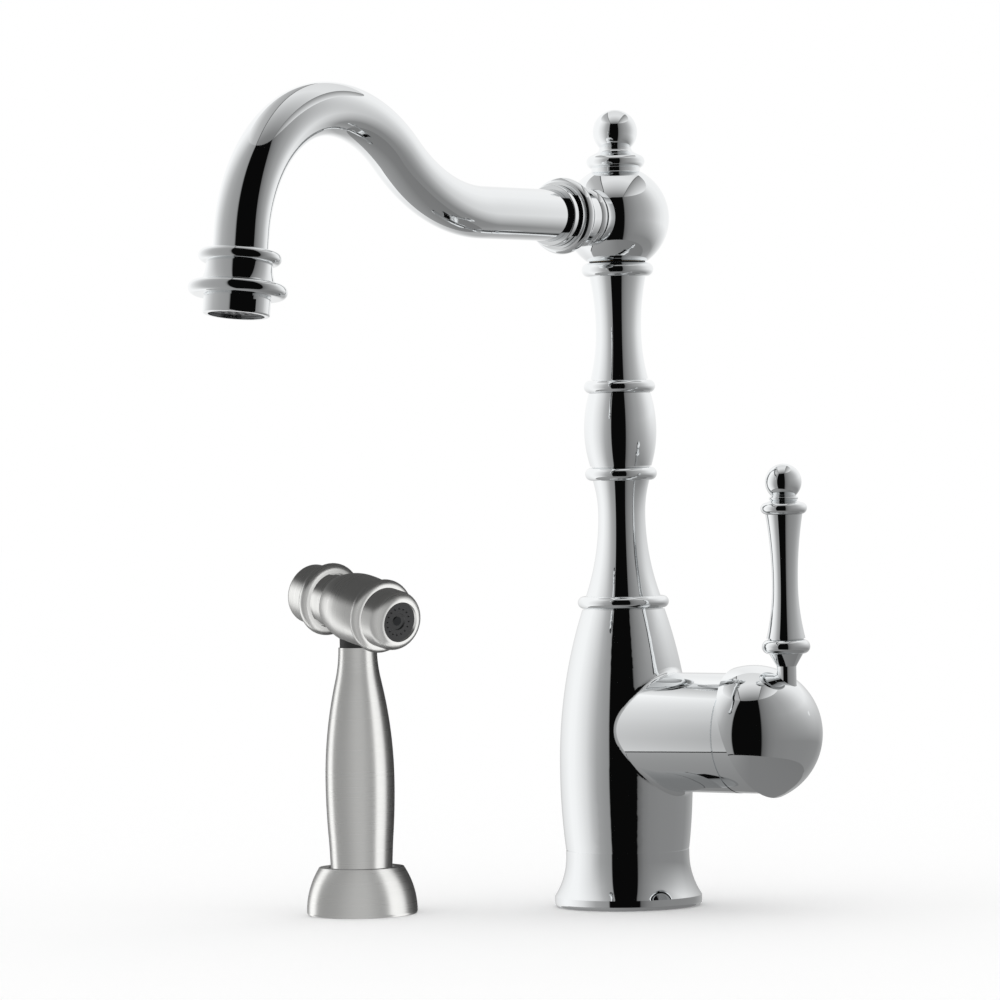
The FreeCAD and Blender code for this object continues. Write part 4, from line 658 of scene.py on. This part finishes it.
def stands_for(piece, name, material):
    """The piece takes the node's place and its body, and is given a material."""
    paint(piece, material)
    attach(piece, body_of_node[name])
    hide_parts(name)


def spin_outline(name, outline, closed, centre, axis, material):
    """Spins an outline of (along, out) round the axis into the piece that stands for the node."""
    side = axis.orthogonal().normalized()
    points = [centre + along_it * axis + out * side for along_it, out in outline]
    edges = [(i, i + 1) for i in range(len(points) - 1)]
    if closed:
        edges.append((len(points) - 1, 0))
    piece = new_piece(name + "_turned", points, edges)
    bpy.ops.object.mode_set(mode="EDIT")
    bpy.ops.mesh.select_all(action="SELECT")
    bpy.ops.mesh.spin(steps=SPIN_STEPS, angle=2 * math.pi, center=centre, axis=axis)
    bpy.ops.mesh.select_all(action="SELECT")
    bpy.ops.mesh.remove_doubles(threshold=0.002 * MM)
    bpy.ops.mesh.normals_make_consistent(inside=False)
    bpy.ops.object.mode_set(mode="OBJECT")
    finer_by_subdivision(piece)
    stands_for(piece, name, material)
    print(f"{name}: {len(outline)} outline points, closed {closed}, {len(piece.data.polygons)} faces")


def turn_again(name, centre, axis, material):
    """A fine copy of a turned node, by the outline on its own seam."""
    outline, closed = outline_of(nodes[name], centre, axis)
    spin_outline(name, outline, closed, centre, axis, material)


print("an outline is spun in", SPIN_STEPS, "steps")

# %% The turned pieces
UP = Vector((0, 0, 1))
COLUMN = Vector((0, 0, 0))
joint_at = {joint["name"]: Vector(joint["pos_m"]) for joint in frame["joints"]}
pivot = joint_at["handle_turn"]
spray_centre = joint_at["spray_lift"]
head_centre = joint_at["spray_press"]
OUTLET_LEAN = math.radians(8)
outlet_axis = Vector((0, -math.sin(OUTLET_LEAN), -math.cos(OUTLET_LEAN)))
OUTLET = Vector((0, -266.481, 279.249)) * MM
LEVER_OUT = 16.8 * MM
LEVER = Vector((pivot.x + LEVER_OUT, 0, 0))
for name in ("base_flange", "band_ring", "column_lower", "column_barrel", "column_upper", "finial"):
    turn_again(name, COLUMN, UP, chrome)
for name in ("lever_stem", "lever_grip", "lever_knob"):
    turn_again(name, LEVER, UP, chrome)
turn_again("spout_collar", joint_at["spout_swivel"], Vector((0, -1, 0)), chrome)
turn_again("outlet_collar", OUTLET, outlet_axis, chrome)
turn_again("bonnet", pivot, Vector((1, 0, 0)), chrome)
turn_again("holder_flange", spray_centre, UP, satin_upright)

# %% [markdown]
# ## The spray's handle
#
# The handle's own line has gaps, so it can't be read off the solid. Its outline is drawn instead: three
# arcs from the foot over the belly to the neck, and back down the bore.

# %% Spray handle
ARC_PIECES = 10


def arc(low, high, middle):
    """Points on the circle through two (along, out) spots, its centre at the height middle."""
    (z0, r0), (z1, r1) = low, high
    out = (r1 * r1 - r0 * r0 + (z1 - middle) ** 2 - (z0 - middle) ** 2) / (2 * (r1 - r0))
    radius = math.dist(low, (middle, out))
    towards = math.copysign(1, r0 - out)
    heights = [z0 + (z1 - z0) * i / ARC_PIECES for i in range(ARC_PIECES + 1)]
    return [(z, out + towards * math.sqrt(radius ** 2 - (z - middle) ** 2)) for z in heights]


FOOT = [(6.5, 10.5), (6.5, 12.5), (15, 13.1)]
HIP = (30, 13.7)
BELLY = (57.5, 14.9)
TURN_BACK = (100.7, 9.9414)
NECK = (115, 8.3)
BORE = [(115, 6.45), (104.9, 6.45), (104.9, 6.0), (30, 6.0), (30, 10.5)]
handle_line = FOOT + arc(HIP, BELLY, BELLY[0])
handle_line += arc(BELLY, TURN_BACK, BELLY[0])[1:]
handle_line += arc(TURN_BACK, NECK, NECK[0])[1:] + BORE
handle_outline = [(height * MM, out * MM) for height, out in handle_line]
spin_outline("spray_handle", handle_outline, True, spray_centre, UP, satin_upright)

# %% The caps on the spray's head
for name in ("nozzle_cap", "button_cap"):
    turn_again(name, head_centre, head_axis, satin_head)

# %% [markdown]
# ## The spout tube
#
# The real spout starts as a straight tube and is pulled round formers in a bender, so it is made of
# straight runs and true arcs. Here a ring of points is drawn along in the same order: extruded for each
# run and spun about the former's centre for each bend. The wall is given its thickness inwards.

# %% Spout tube
TUBE_RADIUS = 11 * MM
TUBE_WALL = 1.5 * MM
TUBE_START = 14 * MM
STRAIGHT_END = 102 * MM
RISE = math.radians(39.3)
RISE_FORMER = 91.5 * MM
RISE_RUN = 4 * MM
CREST_FORMER = 69 * MM
DROP_FORMER = 59.3 * MM
DROP = math.radians(90) - OUTLET_LEAN
OUTLET_RUN = 19.2 * MM
BEND_STEP = math.radians(1.25)
ACROSS = Vector((1, 0, 0))


def heading(lift):
    """The tube's direction when it has been lifted by this angle."""
    return Vector((0, -math.cos(lift), math.sin(lift)))


def run_on(way):
    """Draws the ring of points straight on."""
    bpy.ops.mesh.extrude_edges_move(TRANSFORM_OT_translate={"value": way})


def bend(at, lift, angle, former):
    """Bends upwards for a positive angle, and returns where the bend ends."""
    side = math.copysign(1, angle)
    centre = at + heading(lift + side * math.radians(90)) * former
    steps = math.ceil(abs(angle) / BEND_STEP)
    bpy.ops.mesh.spin(steps=steps, angle=angle, center=centre, axis=ACROSS)
    return centre + heading(lift + angle - side * math.radians(90)) * former


hub = joint_at["spout_swivel"]
start = hub + heading(0) * TUBE_START
bpy.ops.object.select_all(action="DESELECT")
upright = (math.radians(90), 0, 0)
bpy.ops.mesh.primitive_circle_add(
    vertices=SPIN_STEPS, radius=TUBE_RADIUS, location=start, rotation=upright
)
tube = bpy.context.object
tube.name = "spout_tube_bent"
bpy.ops.object.transform_apply(location=True, rotation=True, scale=True)
bpy.ops.object.mode_set(mode="EDIT")
bpy.ops.mesh.select_all(action="SELECT")
run_on(heading(0) * (STRAIGHT_END - TUBE_START))
spot = bend(hub + heading(0) * STRAIGHT_END, 0, RISE, RISE_FORMER)
run_on(heading(RISE) * RISE_RUN)
spot = bend(spot + heading(RISE) * RISE_RUN, RISE, -RISE, CREST_FORMER)
spot = bend(spot, 0, -DROP, DROP_FORMER)
run_on(heading(-DROP) * OUTLET_RUN)
bpy.ops.mesh.select_all(action="SELECT")
bpy.ops.mesh.remove_doubles(threshold=0.002 * MM)
bpy.ops.mesh.normals_make_consistent(inside=False)
bpy.ops.object.mode_set(mode="OBJECT")
wall = tube.modifiers.new("wall", "SOLIDIFY")
wall.thickness = TUBE_WALL
wall.offset = -1
bpy.ops.object.modifier_apply(modifier="wall")
bpy.ops.object.shade_smooth_by_angle(angle=HOLD_SHARPER_THAN)
stands_for(tube, "spout_tube", chrome)
outlet_end = spot + heading(-DROP) * OUTLET_RUN
print("the tube ends at", [round(value / MM, 2) for value in outlet_end], "mm")

# %% [markdown]
# ## What the faucet doesn't mirror
#
# The spray was lit apart, so the polished column shows no image of it. Mirrored rays pass by all that
# stands inside the spray's drum.

# %% The column shows no image of the spray
passed_by = []
for piece in bpy.data.objects:
    if piece.type != "MESH" or piece in (lining, tent, floor):
        continue
    middle = sum((Vector(corner) for corner in piece.bound_box), Vector()) / 8
    if math.dist(middle.xy, spray_axis.xy) < SPRAY_DRUM_RADIUS:
        piece.visible_glossy = False
        passed_by.append(piece.name)
print("mirrored rays pass by", len(passed_by), "pieces of the spray")
